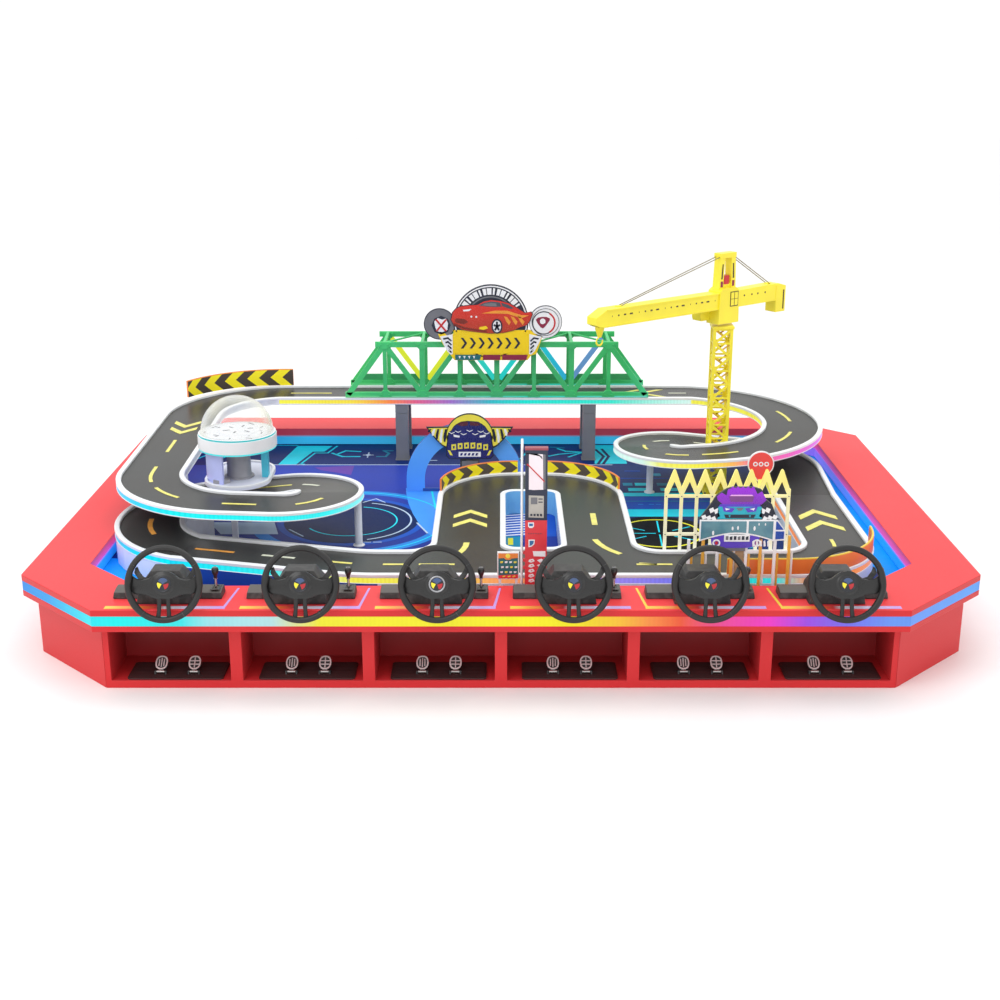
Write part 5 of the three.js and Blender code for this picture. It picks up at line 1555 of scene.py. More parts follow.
def dome_tower():
    form = Form()
    x, y = DOME_X, DOME_Y
    rim = arc(x, -315, 140, 180, 360, 24) + arc(x, -185, 140, 0, 180, 24)
    tray = arc(x, -315, 128, 180, 360, 24) + arc(x, -185, 128, 0, 180, 24)
    form.prism(rim, DOME_PLATE, DOME_PLATE + 12, 1)
    band(form, rim, tray, DOME_PLATE + 12, DOME_PLATE + 19, 0, IDENTITY)
    for px, py in ((x, -441), (x - 40, -62), (x + 40, -62)):
        form.box((px - 12, px + 12), (py - 12, py + 12), (FLOOR, DOME_PLATE + 0.5), 0)
        form.box((px - 20, px + 20), (py - 20, py + 20), (FLOOR, FLOOR + 6), 0)
    base = DOME_PLATE + 12
    form.lathe([(0, base), (64, base), (64, base + 5), (55, base + 9), (52, base + 20), (50, 604),
                (58, 618), (66, DRUM_LOW), (0, DRUM_LOW)], 40, 2, at(x, y))
    curved_panel(form, x, y, 138, 126, 150, 250, base, DRUM_LOW, 3)
    form.box((x + 100, x + 128), (y - 20, y + 20), (base, DRUM_LOW), 4)
    hatch = [(x - 92, -388), (x - 50, -400), (x - 22, -378), (x - 30, -352), (x - 86, -356)]
    form.prism(hatch, base, base + 16, 2)
    drum = [(0, DRUM_LOW), (158, DRUM_LOW), (158, DRUM_LOW + 2), (164, DRUM_LOW + 2), (164, DRUM_LOW + 9),
            (167, DRUM_LOW + 10), (167, DRUM_TOP - 9), (164, DRUM_TOP - 8), (164, DRUM_TOP - 1),
            (160, DRUM_TOP), (0, DRUM_TOP)]
    kinds = [0, 0, 0, 6, 0, 0, 0, 5, 0, 0]
    part = Form().lathe(drum, 64, 0)
    per_side = len(part.faces) // (len(drum) - 1)
    each = [kinds[min(i // per_side, len(kinds) - 1)] for i in range(len(part.faces))]
    form.add(part.points, part.faces, each, at(x, y))
    # small dark marks on the floor under the glass, round a raised disc
    form.lathe([(0, DRUM_TOP), (92, DRUM_TOP), (88, DRUM_TOP + 5), (0, DRUM_TOP + 6)], 48, 0,
               at(x + 6, y + 8))
    for i in range(14):
        angle = 25.7 * i + 9 * (i % 3)
        reach = 104 + 11 * (i % 4)
        half = 3 + 3 * (i % 3)
        turn = at(x, y, 0, angle) @ Matrix.Translation((reach, 0, 0)) @ spun(35 * (i % 5), "Z")
        form.box((-half * 1.7, half * 1.7), (-2.6, 2.6), (DRUM_TOP, DRUM_TOP + 0.8), 7, turn)
    for i in range(6):
        turn = at(x + 6, y + 8, 0, 60 * i + 20)
        form.box((38, 62 + 6 * (i % 2)), (-3, 3), (DRUM_TOP + 5.2, DRUM_TOP + 6.4), 7, turn)
    return form


def dome_glass():
    """A thin hemisphere with a turned-out lip."""
    outer, inner = 154.0, 150.5
    base = DRUM_TOP + 0.3
    steps = 24
    profile = [(inner, base), (158, base), (158, base + 3), (outer, base + 4)]
    profile += [(outer * math.cos(rad(90 * i / steps)), base + outer * math.sin(rad(90 * i / steps)))
                for i in range(1, steps)]
    profile += [(0, base + outer), (0, base + inner)]
    profile += [(inner * math.cos(rad(90 * i / steps)), base + inner * math.sin(rad(90 * i / steps)))
                for i in range(steps - 1, 0, -1)]
    return Form().lathe(profile, 72, 0, at(DOME_X, DOME_Y), closed=True)


def clear_plastic():
    f = Finish("clear_dome_plastic")
    facing = f.node("ShaderNodeLayerWeight", {"Blend": 0.32}).outputs["Facing"]
    haze = f.spread(f.noise(14.0), 0.35, 0.65, 0.0, 0.04)
    alpha = f.math("ADD", f.spread(facing, 0.2, 1.0, 0.1, 0.72), haze)
    tint = f.mix(f.spread(f.noise(6.0), 0.4, 0.6), linear("f0efdd"), linear("dfe4e6"))
    bump = f.node("ShaderNodeBump", {"Strength": 0.03, "Distance": 0.0005, "Height": f.noise(40.0)})
    f.sets(Base_Color=tint, Alpha=alpha, Roughness=0.06, Normal=bump.outputs[0], Coat_Weight=0.6,
           Coat_Roughness=0.03)
    return f.material


dome_tower().make("dome_stand", [TOWER_WHITE, TOWER_PLATE, TOWER_GREY, LAVENDER, CYAN_PANEL, CYAN_RING,
                                 CYAN_GLOW, INK], slot="dome_white", replaces="dome_tower", bevel=0.8)
dome_glass().make("dome_shell", [clear_plastic()], slot="clear_dome", replaces="dome_glass")

# ---- the winged badge on its blue arch ----
ARCH_BLUE = finish("arch_blue_print", lambda f: f.mix(f.spread(f.xyz()[2], 0.3, 0.56), linear("5ba6ff"),
                                                      linear("62b0ff")), rough=0.32, vary=0.03, patch=8)
ARCH_EDGE, BADGE_NAVY, PALE_YELLOW, BROWN_WINDOW = finishes(
    ("arch_edge", "2b4fa6", 0.4, 0.05, 5.0),
    ("badge_navy", "252a72", 0.25, 0.08, 20),
    ("pale_yellow_print", "f3e550", 0.28, 0.05, 16),
    ("brown_window_print", "5e2f3f", 0.2, 0.1, 20))


def badge_sign():
    x, crown, radius = -172.0, 300.0, 277.0
    form = Form()
    shape = [(x + radius, FLOOR)] + arc(x, crown, radius, 0, 180, 48) + [(x - radius, FLOOR),
            (x - 190, FLOOR)]
    shape += arc(x, crown, 190, 180, 0, 36) + [(x + 190, FLOOR)]
    form.board(shape, 324, 344, 4, side=5)
    form.box((x - 200, x + 200), (322, 334), (FLOOR, FLOOR + 14), 5)
    sign = Sign(-147, 519, 298)
    sign.form = form
    for side in (-1, 1):
        wing = [(204, 47), (98, 48), (96, 0), (112, -54), (128, -46), (160, -14)]
        sign.plate([(side * u, v) for u, v in wing], 0, 0, 12)
        inner = [(192, 41), (100, 43), (100, 0), (114, -44), (126, -38), (154, -10)]
        sign.plate([(side * u * 1.008, v * 1.01) for u, v in inner], 6, 1)
        for i in range(5):
            top = 106 + 18 * i
            drop = (62, 66, 50, 32, 16)[i]
            stripe = [(top, 38), (top + 9, 38), (top + 9 - drop * 0.02 + 10, 38 - drop * 0.6),
                      (top + 16, 38 - drop), (top + 8, 38 - drop)]
            sign.plate([(side * u, v) for u, v in stripe], 1 if i % 2 else 0, 2)
        sign.plate([(side * u, v) for u, v in ((96, 6), (106, 8), (116, -44), (106, -46))], 6, 2)
    sign.plate(circle(0, 0, 112, 64), 0, 1, 14)
    sign.plate(circle(0, 0, 108, 64), 6, 2)
    body = [(-100, 22), (-88, 30), (-74, 52), (-62, 62), (-40, 74), (-8, 78), (40, 74), (60, 62),
            (74, 50), (88, 28), (100, 20), (110, -46), (112, -92), (98, -108), (-98, -108), (-112, -92),
            (-110, -46)]
    sign.plate(body, 0, 3, 4)
    sign.plate([(u * 0.96, v * 0.96) for u, v in body], 7, 4)
    sign.plate([(-60, 60), (-40, 72), (-8, 74), (-8, 56), (-34, 52)], 8, 5)
    sign.plate([(2, 74), (38, 70), (52, 58), (34, 54), (2, 56)], 8, 5)
    for u, v in ((-84, 24), (-54, 30), (-28, 18), (0, 34), (26, 18), (52, 30), (80, 22)):
        sign.plate([(u - 14, v - 2), (u, v - 9), (u + 14, v - 2), (u + 14, v + 1), (u, v - 5),
                    (u - 14, v + 1)], 1, 5)
    for side in (-1, 1):
        sign.plate([(side * 46, 6), (side * 76, 12), (side * 74, 1), (side * 48, -3)], 1, 5)
    # yellow arched bars in place of a word, and a small striped plate
    for i in range(6):
        u = -86 + 30 * i
        lift = 8 * (1 - (abs(i - 2.5) / 2.5) ** 2)
        sign.plate([(u, -64 + lift), (u + 22, -62 + lift), (u + 22, -34 + lift), (u, -36 + lift)], 6, 5)
        sign.plate([(u + 7, -56 + lift), (u + 15, -55 + lift), (u + 15, -43 + lift), (u + 7, -44 + lift)],
                   7, 6)
    sign.plate([(-104, -64), (-92, -66), (-80, -90), (-92, -88)], 6, 5)
    sign.plate([(104, -64), (92, -66), (80, -90), (92, -88)], 6, 5)
    sign.plate(rect(-52, 52, -72, -96), 1, 5)
    for i in range(5):
        sign.plate([(-42 + 18 * i, -78), (-32 + 18 * i, -78), (-36 + 18 * i, -90), (-46 + 18 * i, -90)], 7,
                   6)
    # the stand behind it
    form.box((-147 - 46, -147 + 46), (304, 326), (FLOOR, 408), 3)
    form.box((-147 - 38, -147 + 38), (302.5, 304), (368, 400), 2)
    form.make("winged_badge", [INK, SIGN_WHITE, SIGN_GREY, BLACK, ARCH_BLUE, ARCH_EDGE, PALE_YELLOW,
                               BADGE_NAVY, BROWN_WINDOW], slot="arch_blue", replaces="badge_sign")


badge_sign()

# ---- the kiosk, its pole and the notice board ----
KIOSK_NAVY, KIOSK_WHITE, KIOSK_GREY, KIOSK_RED, KIOSK_BLUE, KIOSK_TOP, ORANGE_MARK = finishes(
    ("kiosk_frame", "2a3146", 0.35, 0.08, 16),
    ("kiosk_window", "f4e8ee", 0.15, 0.04, 10),
    ("kiosk_panel", "b5b2aa", 0.35, 0.08, 16),
    ("kiosk_red", "e03a44", 0.32, 0.05, 10),
    ("kiosk_blue", "2f6fa8", 0.3, 0.06, 20),
    ("kiosk_top", "9a4552", 0.35, 0.06, 16),
    ("notice_orange", "f08a34", 0.3, 0.06, 20))


def kiosk():
    sign = Sign(131, 0, -1131)
    form = sign.form
    form.box((90, 172), (-1128, -1101), (FLOOR, 858), 5)
    form.box((88, 174), (-1130, -1100), (856, 865), 7)
    form.box((90, 172), (-1131, -1127), (586, 857), 5)
    form.box((90, 172), (-1131, -1127), (FLOOR, 586), 8)
    sign.plate([(-28, 846), (24, 842), (26, 706), (-28, 704)], 6, 1, 2)
    sign.plate([(26, 842), (33, 841), (34, 708), (28, 706)], 2, 1)
    sign.plate([(-36, 800), (-32, 800), (30, 734), (30, 741), (-32, 806), (-36, 806)], 3, 2)
    sign.plate([(-28, 846), (2, 844), (22, 822), (20, 834), (6, 842)], 2, 2)
    sign.plate([(-41, 708), (41, 700), (41, 688), (-41, 694)], 5, 2, 4)
    sign.plate([(-28, 684), (28, 682), (28, 596), (-28, 598)], 4, 1)
    sign.plate(rect(-20, 4, 676, 650), 2, 2)
    sign.plate(rect(8, 24, 672, 668), 5, 2)
    sign.plate(rect(8, 24, 660, 656), 5, 2)
    for i in range(4):
        sign.plate([(-22 + 12 * i, 612), (-14 + 12 * i, 612), (-14 + 12 * i, 604 - i), (-22 + 12 * i, 604)],
                   0, 2)
    sign.plate([(-30, 578), (-8, 578), (-8, 562), (-14, 556), (-24, 556), (-30, 562)], 1, 1)
    sign.plate(rect(-26, -12, 574, 564), 9, 2)
    for i in range(6):
        sign.plate(rect(-30 + 9 * i, -24 + 9 * i, 536, 532), 7, 1)
    sign.plate([(-28, 510), (-4, 510), (-6, 492), (-16, 482), (-28, 480)], 1, 1)
    sign.plate([(-24, 506), (-8, 506), (-10, 494), (-18, 487), (-24, 486)], 9, 2)
    # white shapes low on the body
    sign.plate([(-12, 464), (36, 464), (36, 442), (-8, 444)], 1, 1)
    for i in range(5):
        z = 430 - 20 * i
        sign.plate([(-26, z), (-10, z + 4), (-4, z - 6), (-18, z - 12), (-28, z - 8)], 1, 1)
        sign.plate([(4, z - 2), (22, z + 4), (30, z - 4), (16, z - 12)], 1, 1)
        sign.plate([(-20, z - 3), (-12, z - 1), (-14, z - 6)], 8, 2)
    for z in (450, 420, 390):
        form.box((84, 90), (-1126, -1116), (z, z + 12), 8)
    # pole, notice board, legs and rail
    form.lathe([(0, FLOOR), (9, FLOOR), (9, FLOOR + 5), (5, FLOOR + 8), (5, 892), (4, 897), (0, 898)], 20,
               1, at(78, -1116))
    form.box((-14, 68), (-1122, -1110), (348, 456), 1)
    board = Sign(27, 402, -1122)
    board.form = form
    board.plate(rect(-37, 37, 50, -50), 10, 1)
    board.plate([(-37, 50), (37, 50), (37, 32), (14, 30), (6, 24), (-8, 24), (-16, 32), (-37, 30)], 11, 2)
    board.plate(circle(-1, 40, 9, 16), 12, 3)
    for i in range(4):
        for k in range(3):
            u = -30 + 17 * i + 3 * (k % 2)
            v = 18 - 20 * k
            board.plate([(u, v), (u + 11, v + 1), (u + 10, v - 6), (u + 1, v - 7)],
                        1 if (i + k) % 3 else 12, 2)
    board.plate([(-37, -38), (37, -34), (37, -50), (-37, -50)], 8, 2)
    for u in (-22, -2, 16):
        board.plate([(u, -42), (u + 10, -38), (u + 12, -42), (u + 2, -46)], 12, 3)
    for px in (-4, 58):
        form.box((px - 5, px + 5), (-1121, -1111), (FLOOR, 349), 1)
    form.box((-10, 100), (-1121, -1111), (FLOOR, FLOOR + 12), 1)
    form.make("kiosk", [INK, SIGN_WHITE, SIGN_GREY, SIGN_RED, KIOSK_GREY, KIOSK_NAVY, KIOSK_WHITE,
                        KIOSK_TOP, KIOSK_RED, KIOSK_BLUE, TEAL, ORANGE_MARK, PALE_YELLOW],
              slot="kiosk_red", replaces="pump_tower", bevel=0.5)


kiosk()

# ---- the picket fence with its pin ----
# The fence paint glows faintly: painted light that lifts its shaded faces. Its white-to-yellow ramp up the
# height is its own colour.
FENCE_PAINT_GLOWING = finish("fence_paint_painted_glow", lambda f: f.ramp(f.spread(f.xyz()[2], 0.24, 0.69),
                                                     [(0, linear("fdfdf8")), (0.5, linear("fcf9dc")),
                                                      (0.76, linear("fbf5b0")),
                                                      (0.86, linear("fcf07a"))]), rough=0.38, vary=0.05,
                     patch=10, Emission_Color=rgba(linear("f8f2b4")), Emission_Strength=0.22)
PIN_RED = finish("pin_red", "ef4a44", rough=0.3, vary=0.04, patch=14)
FENCE_LEFT, FENCE_PITCH, FENCE_Y = 654.0, 60.6, -790.0


def picket_fence():
    form = Form()
    right = FENCE_LEFT + 8 * FENCE_PITCH
    for i in range(9):
        x = FENCE_LEFT + i * FENCE_PITCH
        form.box((x - 6.5, x + 6.5), (FENCE_Y - 5, FENCE_Y + 5), (FLOOR, 603), 0)
        form.box((x - 11, x + 11), (FENCE_Y - 9, FENCE_Y + 9), (FLOOR, FLOOR + 5), 0)
        if i < 8:
            peak = x + FENCE_PITCH / 2
            form.board([(x - 6.5, 592), (x + 8, 582), (peak, 634), (x + FENCE_PITCH - 8, 582),
                        (x + FENCE_PITCH + 6.5, 592), (peak + 5, 680), (peak, 684), (peak - 5, 680)],
                       FENCE_Y - 6 + 0.4 * (i % 2), FENCE_Y + 6 - 0.4 * (i % 2), 0)
    for z in (414, 573):
        form.box((FENCE_LEFT, right), (FENCE_Y - 4, FENCE_Y + 4), (z - 6, z + 6), 0)
        for i in range(9):
            place = at(FENCE_LEFT + i * FENCE_PITCH, FENCE_Y - 5, z) @ spun(90, "X")
            form.lathe([(0, -1), (3.4, -1), (3.4, 1.2), (2, 2.2), (0, 2.2)], 12, 2, place)
    pin_x, pin_z = FENCE_LEFT + 6.1 * FENCE_PITCH, 702
    outline = [(pin_x, pin_z - 84)] + arc(pin_x, pin_z, 52, -32, 212, 40)
    inner = [(pin_x, pin_z - 77)] + arc(pin_x, pin_z, 47.5, -32, 212, 40)
    form.board(outline, FENCE_Y + 9, FENCE_Y + 18, 1)
    form.board(inner, FENCE_Y + 8, FENCE_Y + 9.5, 3)
    pin = Sign(pin_x, pin_z, FENCE_Y + 8)
    pin.form = form
    for u in (-22, 0, 22):
        pin.ring(u, 0, 9.5, 5, 1, 1, steps=20)
    form.box((pin_x - 8, pin_x + 8), (FENCE_Y + 5, FENCE_Y + 12), (565, 640), 0)
    form.make("fence_and_pin", [FENCE_PAINT_GLOWING, SIGN_WHITE, STEEL, PIN_RED], slot="fence_yellow",
              replaces="picket_fence", bevel=0.7)


picket_fence()

# ---- the car billboard ----
PURPLE = finish("board_purple", lambda f: f.mix(f.spread(f.xyz()[2], 0.62, 0.7), linear("6d2ba8"),
                                                linear("9a22d8")), rough=0.26, vary=0.06, patch=14)
VIOLET, PINK_LINE, BRIGHT_TEAL = finishes(
    ("board_violet", "5a3cc4", 0.28, 0.06, 14),
    ("board_pink", "f3b6ee", 0.25, 0.05, 14),
    ("board_teal", "1fb0c4", 0.28, 0.08, 14))
GLASS_TEAL = finish("board_pane", lambda f: f.mix(f.spread(f.noise(18.0), 0.4, 0.6), linear("5f8f9c"),
                                                  linear("4e7f92")), rough=0.12, vary=0.1, patch=20)
DEEP_BLUE, PICKET_ORANGE, POST_BROWN, DARK_PURPLE = finishes(
    ("board_blue", "1f49a8", 0.25, 0.06, 14),
    ("picket_orange", "efb448", 0.4, 0.06, 14),
    ("post_brown", "a98b68", 0.5, 0.1, 10),
    ("board_windscreen", "7a3c86", 0.15, 0.1, 18))


def billboard():
    x = 898.0
    sign = Sign(x, 13, -1122)
    form = sign.form
    # pickets, rails and post
    for i in range(8):
        px = 706 + 54 * i
        top = 505 if i < 6 else 520
        form.box((px - 5.5, px + 5.5), (-1120, -1110), (FLOOR, top), 8 if i % 2 else 1)
        form.box((px + 9, px + 17), (-1112, -1106), (FLOOR + 10, top - 60), 1 if i % 2 else 8)
    form.box((702, 1088), (-1120, -1110), (FLOOR, FLOOR + 14), 1)
    form.box((702, 1088), (-1118, -1110), (452, 462), 1)
    form.box((x - 16, x + 16), (-1120, -1108), (FLOOR, 480), 9)
    form.box((x - 62, x + 20), (-1124, -1108), (462, 497), 2)
    # back board, car roof and windscreen
    back = [(-140, 497), (118, 497), (120, 578), (134, 578), (112, 632), (88, 652), (70, 690), (44, 699),
            (-36, 700), (-58, 694), (-96, 668), (-112, 640), (-160, 572), (-140, 572)]
    sign.plate(back, 0, 0, 12)
    roof = [(-96, 664), (-78, 679), (-60, 668), (-56, 692), (-34, 698), (43, 696), (55, 673), (71, 684),
            (90, 650), (72, 632), (-74, 634), (-92, 650)]
    sign.plate(roof, 3, 1)
    for i in range(5):
        u = -38 + 19 * i
        sign.plate([(u - 6, 697), (u, 704), (u + 6, 697)], 3, 1)
    sign.plate([(-50, 664), (-40, 671), (32, 671), (43, 664), (38, 643), (-44, 643)], 13, 2)
    sign.plate([(-48, 666), (40, 666), (34, 671), (-42, 671)], 5, 3)
    sign.plate([(-82, 634), (64, 634), (74, 620), (-90, 620)], 4, 2)
    sign.plate([(-90, 624), (74, 624), (76, 578), (-90, 576)], 6, 3)
    for side, middle in ((-1, -8), (1, -8)):
        sign.plate([(middle + side * 18, 618), (middle + side * 66, 626), (middle + side * 60, 606),
                    (middle + side * 30, 602)], 4, 4)
        sign.plate([(middle + side * 36, 616), (middle + side * 56, 620), (middle + side * 52, 610)], 1, 5)
    sign.plate([(-22, 620), (6, 620), (-2, 610), (-14, 610)], 2, 5)
    sign.plate([(-66, 594), (52, 594), (46, 580), (-60, 580)], 0, 4)
    for u in (-46, 30):
        sign.plate([(u - 4, 590), (u + 4, 592), (u + 2, 582)], 6, 5)
    # chequered wings
    for side in (-1, 1):
        shift = -8
        for i in range(5):
            for k in range(3):
                u0 = 86 + 14 * i - 4 * k
                v0 = 636 - 14 * i - 17 * k
                if v0 > 574:
                    tile = [(u0, v0), (u0 + 15, v0 - 7), (u0 + 9, v0 - 24), (u0 - 6, v0 - 15)]
                    tile = [(shift + side * u, max(v, 574)) for u, v in tile]
                    sign.plate(tile, 1 if (i + k) % 2 else 0, 3)
    # the two framed panes with an arched lower edge
    n = 12
    lower = [(-156 + 282 * i / n, 488 + 30 * math.sin(math.pi * i / n)) for i in range(n + 1)]
    frame_shape = lower + [(126, 574), (-156, 574)]
    sign.plate(frame_shape, 1, 5, 3)
    for u0, u1 in ((-150, 20), (28, 120)):
        steps = 8
        edge = [(u0 + (u1 - u0) * i / steps, 0) for i in range(steps + 1)]
        edge = [(u, 494 + 30 * math.sin(math.pi * (u + 156) / 282)) for u, _ in edge]
        sign.plate(edge + [(u1, 568), (u0, 568)], 7, 6)
    for u, v, r in ((-32, 540, 6), (-12, 542, 6), (-104, 522, 7), (50, 540, 7), (66, 556, 4), (90, 556, 4)):
        mark = [(u + r * 0.6 * math.cos(rad(a)), v + r * 1.3 * math.sin(rad(a))) for a in range(0, 360, 30)]
        sign.plate(mark, 1, 7)
    sign.plate([(126, 572), (136, 572), (166, 530), (168, 492), (126, 490)], 1, 4)
    sign.plate([(130, 567), (135, 567), (160, 534), (130, 534)], 10, 5)
    sign.plate([(130, 528), (162, 528), (162, 498), (130, 496)], 10, 5)
    # the lower body with its plate
    sign.plate([(-112, 512), (72, 512), (66, 470), (30, 462), (-70, 462), (-108, 478)], 4, 4, 8)
    sign.plate(rect(-62, 34, 516, 488), 1, 7)
    for i in range(6):
        sign.plate([(-56 + 15 * i, 510 - 3 * (i % 2)), (-46 + 15 * i, 510), (-46 + 15 * i, 495),
                    (-56 + 15 * i, 495)], 0 if i % 3 else 2, 8)
    for side in (-1, 1):
        ring_u = -14 + side * 76
        sign.ring(ring_u, 482, 15, 9, 1, 6, steps=24)
        sign.plate(rect(ring_u - 5, ring_u + 5, 476, 488), 11, 6)
    for i in range(5):
        sign.plate([(44 + 14 * i, 488), (50 + 14 * i, 494), (54 + 14 * i, 470), (46 + 14 * i, 468)], 1, 7)
    # blocks at the foot
    form.box((x + 30, x + 112), (-1124, -1112), (262, 296), 12)
    form.box((x + 26, x + 116), (-1125, -1111), (258, 264), 1)
    form.make("billboard", [INK, SIGN_WHITE, SIGN_GREY, PURPLE, VIOLET, PINK_LINE, BRIGHT_TEAL,
                            GLASS_TEAL, PICKET_ORANGE, POST_BROWN, DEEP_BLUE, SIGN_RED, TEAL,
                            DARK_PURPLE], slot="board_purple", replaces="car_billboard", bevel=0.4)


billboard()


# ---- the printed playfield ----
def field_color(f):
    """Deep blue along the back and at the right, and violet blue in the middle."""
    x, y, _ = f.xyz()
    middle = f.mix(f.spread(y, -0.7, 0.6), linear("1b2f86"), linear("2c44b4"))
    right = f.mix(f.spread(x, 0.3, 0.56), middle, linear("10326f"))
    return f.mix(f.math("GREATER_THAN", y, 0.766), right, linear("0d2d72"))


PRINTS = [finish(name, color, rough=0.4, vary=vary, patch=patch, Specular_IOR_Level=0.08) for name, color,
          vary, patch in (("playfield_print", field_color, 0.12, 3), ("print_cyan", "22e0f6", 0.08, 6),
                          ("print_teal", "1b8fb2", 0.1, 6), ("print_sky", "2a86de", 0.08, 5),
                          ("print_blue", "1d55c0", 0.1, 5), ("print_navy", "0c2258", 0.1, 5),
                          ("print_pale", "bfd6ee", 0.06, 6), ("print_purple", "6a45ae", 0.1, 6),
                          ("print_white", "f4f6f8", 0.05, 6), ("print_black", "0a0d12", 0.2, 8),
                          ("print_yellow", "f3f03e", 0.06, 8), ("print_arch_blue", "4a9cfa", 0.06, 5),
                          ("print_bright_blue", "12a8ff", 0.08, 4))]
FIELD_TOP, INK_STEP = 243.2, 0.3


def inked(form, outline, kind, level):
    """A flat printed shape on the playfield, a number of thin layers up."""
    pairs = zip(outline, outline[1:] + outline[:1])
    area = sum(x0 * y1 - x1 * y0 for (x0, y0), (x1, y1) in pairs)
    form.prism(outline if area > 0 else outline[::-1], FIELD_TOP, FIELD_TOP + INK_STEP * level, kind)


def stroke(form, points, width, kind, level=2):
    """A printed line of even width."""
    for i, ((x0, y0), (x1, y1)) in enumerate(zip(points, points[1:])):
        length = math.hypot(x1 - x0, y1 - y0)
        u, v = (x1 - x0) / length * width / 2, (y1 - y0) / length * width / 2
        inked(form, [(x0 - u + v, y0 - v - u), (x1 + u + v, y1 + v - u), (x1 + u - v, y1 + v + u),
                     (x0 - u - v, y0 - v + u)], kind, level + 0.3 * (i % 2))


def ringed(form, x, y, outer, inner, kind, level, start=0, end=360, steps=64):
    for i in range(steps):
        a = start + (end - start) * i / steps
        b = start + (end - start) * (i + 1) / steps
        inked(form, arc(x, y, outer, a, b, 1) + arc(x, y, inner, b, a, 1), kind, level)


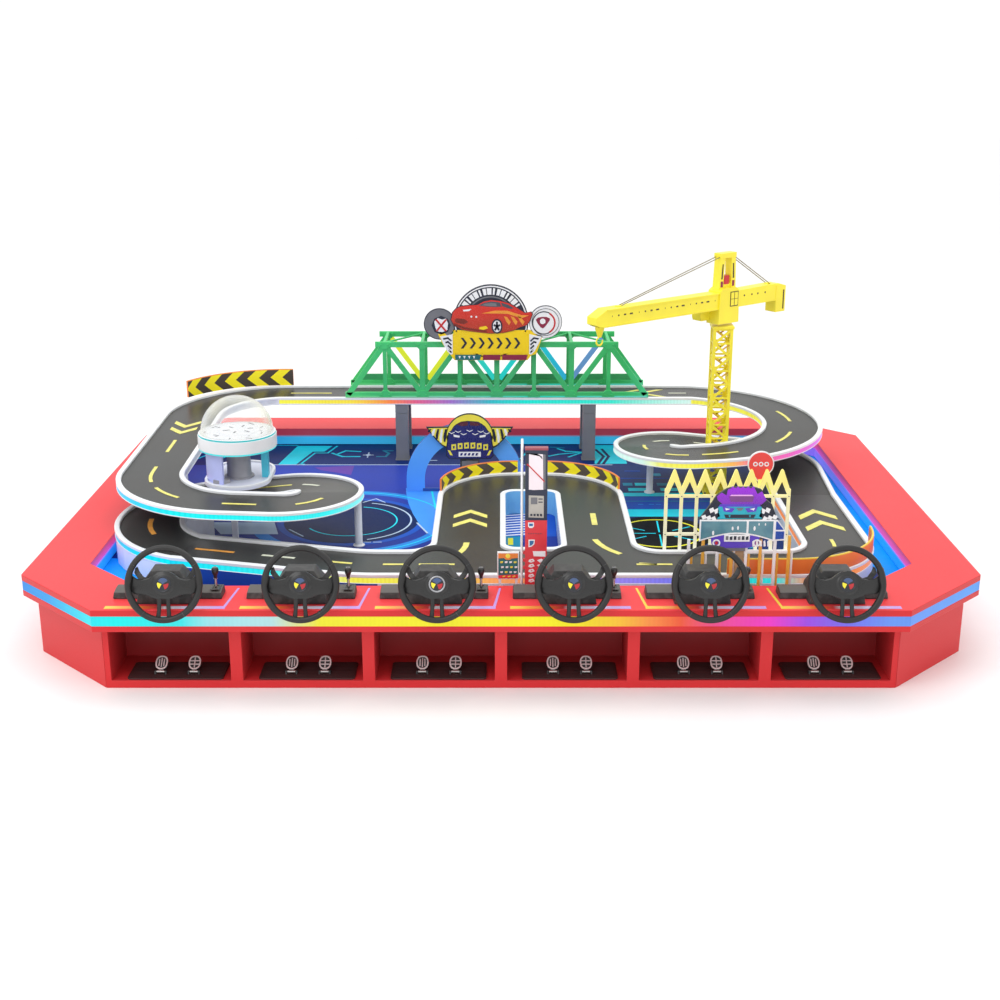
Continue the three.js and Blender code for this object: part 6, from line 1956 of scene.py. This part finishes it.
def playfield():
    form = Form()
    slab = [(-1683.6, -1091), (1683.6, -1091), (1779, -995.6), (1779, 995.6), (1455.6, 1319),
            (-1455.6, 1319), (-1779, 995.6), (-1779, -995.6)]
    form.prism(slab, 232, FIELD_TOP, 0)
    # the band along the back
    stroke(form, [(-1190, 770), (560, 770)], 9, 6)
    stroke(form, [(-1190, 1136), (-1080, 1136)], 8, 1)
    inked(form, [(-1129, 778), (-1038, 778), (-983, 1015), (-923, 1015), (-892, 1125), (-1076, 1125)], 1, 1)
    stroke(form, [(-1016, 783), (-968, 988), (-902, 988), (-868, 1118)], 10, 1)
    stroke(form, [(-1020, 783), (-1000, 783)], 10, 1)
    stroke(form, [(-876, 982), (-818, 920), (-732, 920)], 14, 1)
    stroke(form, [(-848, 967), (-812, 1030), (-737, 1015)], 14, 1)
    stroke(form, [(-712, 950), (-664, 950)], 8, 6)
    stroke(form, [(-688, 905), (-688, 995)], 7, 6)
    inked(form, circle(-688, 950, 14, 12), 6, 3)
    stroke(form, [(-638, 920), (-595, 920), (-583, 982), (-613, 1030), (-569, 1030)], 13, 2)
    stroke(form, [(-420, 850), (-330, 850)], 8, 6)
    for x in (-140, 40):
        stroke(form, [(x, 880), (x + 60, 880), (x + 90, 990)], 9, 1)
    stroke(form, [(250, 930), (300, 965), (415, 1000)], 13, 1)
    stroke(form, [(300, 1070), (340, 1020), (428, 1005), (351, 915)], 13, 1)
    stroke(form, [(262, 1100), (330, 1085)], 10, 2)
    inked(form, [(476, 790), (640, 790), (640, 1141), (498, 1141)], 1, 1)
    stroke(form, [(498, 1050), (530, 922), (491, 780)], 15, 5)
    stroke(form, [(530, 1060), (556, 922), (520, 790)], 15, 5)
    stroke(form, [(436, 1100), (470, 1010)], 13, 1)
    for x in (-1560, -1440, 1040, 1240):
        stroke(form, [(x, 880), (x + 70, 1010)], 12, 1)
    # the middle and the left dial
    inked(form, [(-939, 724), (-741, 752), (-742, 593), (-900, 676)], 7, 1)
    cx, cy = -668, -120
    ringed(form, cx, cy, 445, 388, 3, 1)
    ringed(form, cx, cy, 420, 414, 1, 2, -70, 100, 40)
    ringed(form, cx, cy, 330, 300, 4, 1)
    inked(form, circle(cx, cy, 300, 72), 5, 1)
    ringed(form, cx, cy, 270, 262, 6, 2, -70, 75, 40)
    ringed(form, cx, cy, 206, 199, 1, 2, -150, 80, 60)
    stroke(form, [(-587, -405), (-560, -405)], 6, 6, 3)
    stroke(form, [(-545, -405), (-514, -405)], 6, 6, 3)
    stroke(form, [(-373, -149), (-322, -284)], 8, 6, 3)
    stroke(form, [(-929, -240), (-859, -328)], 7, 6, 3)
    stroke(form, [(-640, 150), (-585, 205), (-540, 150)], 6, 6, 3)
    inked(form, [(-1300, -140), (-1010, -140), (-970, -300), (-1220, -300)], 6, 1.6)
    inked(form, [(-456, 373), (-448, 278), (-430, 139), (-402, -9), (-370, -137), (-338, -240),
                 (-313, -300), (-290, -350), (-290, -100), (-250, 60), (-250, 373)], 11, 1.5)
    # brighter blue at the left front corner and along the right side
    inked(form, [(-1640, -1085), (-1190, -1085), (-1220, -790), (-1330, -650), (-1640, -600)], 12, 1)
    inked(form, rect(1520, 1640, -1085, 1100), 12, 1)
    for i in range(4):
        stroke(form, [(-1180 + 90 * i, -700), (-1120 + 90 * i, -620)], 9, 1)
    stroke(form, [(-440, 330), (-330, 330), (-300, 60)], 9, 1)
    # inside the loop
    inked(form, rect(22, 241, -330, -22), 4, 1)
    for i in range(9):
        stroke(form, [(24, -318 + 34 * i), (104, -300 + 34 * i)], 13, 8, 2)
    inked(form, rect(22, 90, -470, -330), 2, 1)
    inked(form, rect(30, 52, -440, -352), 10, 2)
    # bars and bands at the right
    inked(form, rect(723, 790, 576, 619), 2, 1)
    stroke(form, [(590, 535), (860, 535)], 10, 4)
    stroke(form, [(620, 660), (690, 660)], 8, 4)
    for x0, x1, y0, y1, kind in ((590, 636, 414, 458, 2), (648, 732, 414, 458, 1), (755, 900, 414, 458, 2),
                                 (609, 706, 327, 375, 1), (763, 880, 327, 375, 1), (560, 1000, 245, 298, 1),
                                 (560, 1020, 50, 240, 4), (560, 1040, -58, 48, 1)):
        inked(form, rect(x0, x1, y0, y1), kind, 1)
    stroke(form, [(560, 168), (1000, 168)], 8, 2)
    for x in (640, 690, 722):
        stroke(form, [(x, 120), (x + 14, 120)], 10, 3)
    stroke(form, [(840, 20), (940, -60), (1040, -170)], 34, 1)
    inked(form, circle(691, -291, 232, 64), 9, 2)
    ringed(form, 691, -286, 186, 176, 10, 3)
    for angle in (0, 32, 88, 148, 180, 212, 268, 328):
        near = 20 if angle in (0, 88, 180, 268) else 75
        ends = [(691 + r * math.cos(rad(angle)), -291 + r * math.sin(rad(angle))) for r in (near, 166)]
        stroke(form, ends, 7, 1, 3)
    inked(form, [(900, -480), (1080, -480), (1080, -380), (920, -330)], 2, 1)
    form.make("playfield", PRINTS, slot="playfield_print", replaces="playfield_floor")


playfield()

# ---- behind and inside: the service door and the control box ----
DOOR_RED = finish("service_door_red", "a3191f", rough=0.4, vary=0.05, patch=4, grain=300, relief=0.07)
CASE = finish("case_grey", "7f858b", rough=0.35, metal=0.8, vary=0.06, patch=9, grain=900, relief=0.1)


def service_door():
    form = Form()
    form.box((153, 547), (1323, 1338), (45, 199), 0)
    form.board(rect(163, 537, 55, 189), 1337.5, 1340.5, 0)
    for i in range(7):
        form.box((215 + 26 * i, 233 + 26 * i), (1340.4, 1341), (84, 160), 1)
    knob = at(510, 1338, 122) @ spun(-90, "X")
    form.lathe([(0, 0), (16, 0), (16, 3), (8, 4), (8, 8), (12, 9), (12, 13), (10.5, 14), (0, 14)], 32, 2,
               knob)
    grip = knob @ at(0, 0, 12.8)
    form.box((-2.2, 2.2), (-9, 9), (0, 1.2), 1, grip)
    for z in (62, 164):
        form.lathe(rect(0, 4, z, z + 22), 16, 2, at(157, 1338.5))
    form.make("service_hatch", [DOOR_RED, SATIN_BLACK, STEEL], body="service_door", slot="dark_red_panel",
              replaces="service_door", bevel=1.2)


def control_box():
    form = Form()
    form.box((288.7, 588.7), (960, 1230), (40, 180), 0)
    form.box((284.7, 592.7), (1030, 1160), (40, 44), 0)
    for i in range(5):
        for k in range(3):
            x = 316.7 + 52 * i + 7.2 * k
            form.box((x, x + 5.6), (980, 1210), (179, 192), 0)
    for i in range(4):
        x = 325 + 66 * i
        form.box((x, x + 36), (958, 961), (92, 112), 1)
        form.box((x + 6, x + 30), (957.4, 959), (96, 108), 2)
    for x in (300, 577):
        for z in (52, 168):
            form.lathe([(0, -1), (5, -1), (5, 1.5), (3, 2.4), (0, 2.4)], 16, 2,
                       at(x, 960, z) @ spun(90, "X"))
    form.make("control_case", [CASE, SATIN_BLACK, STEEL], slot="case_metal", replaces="control_box",
              bevel=0.8)


service_door()
control_box()
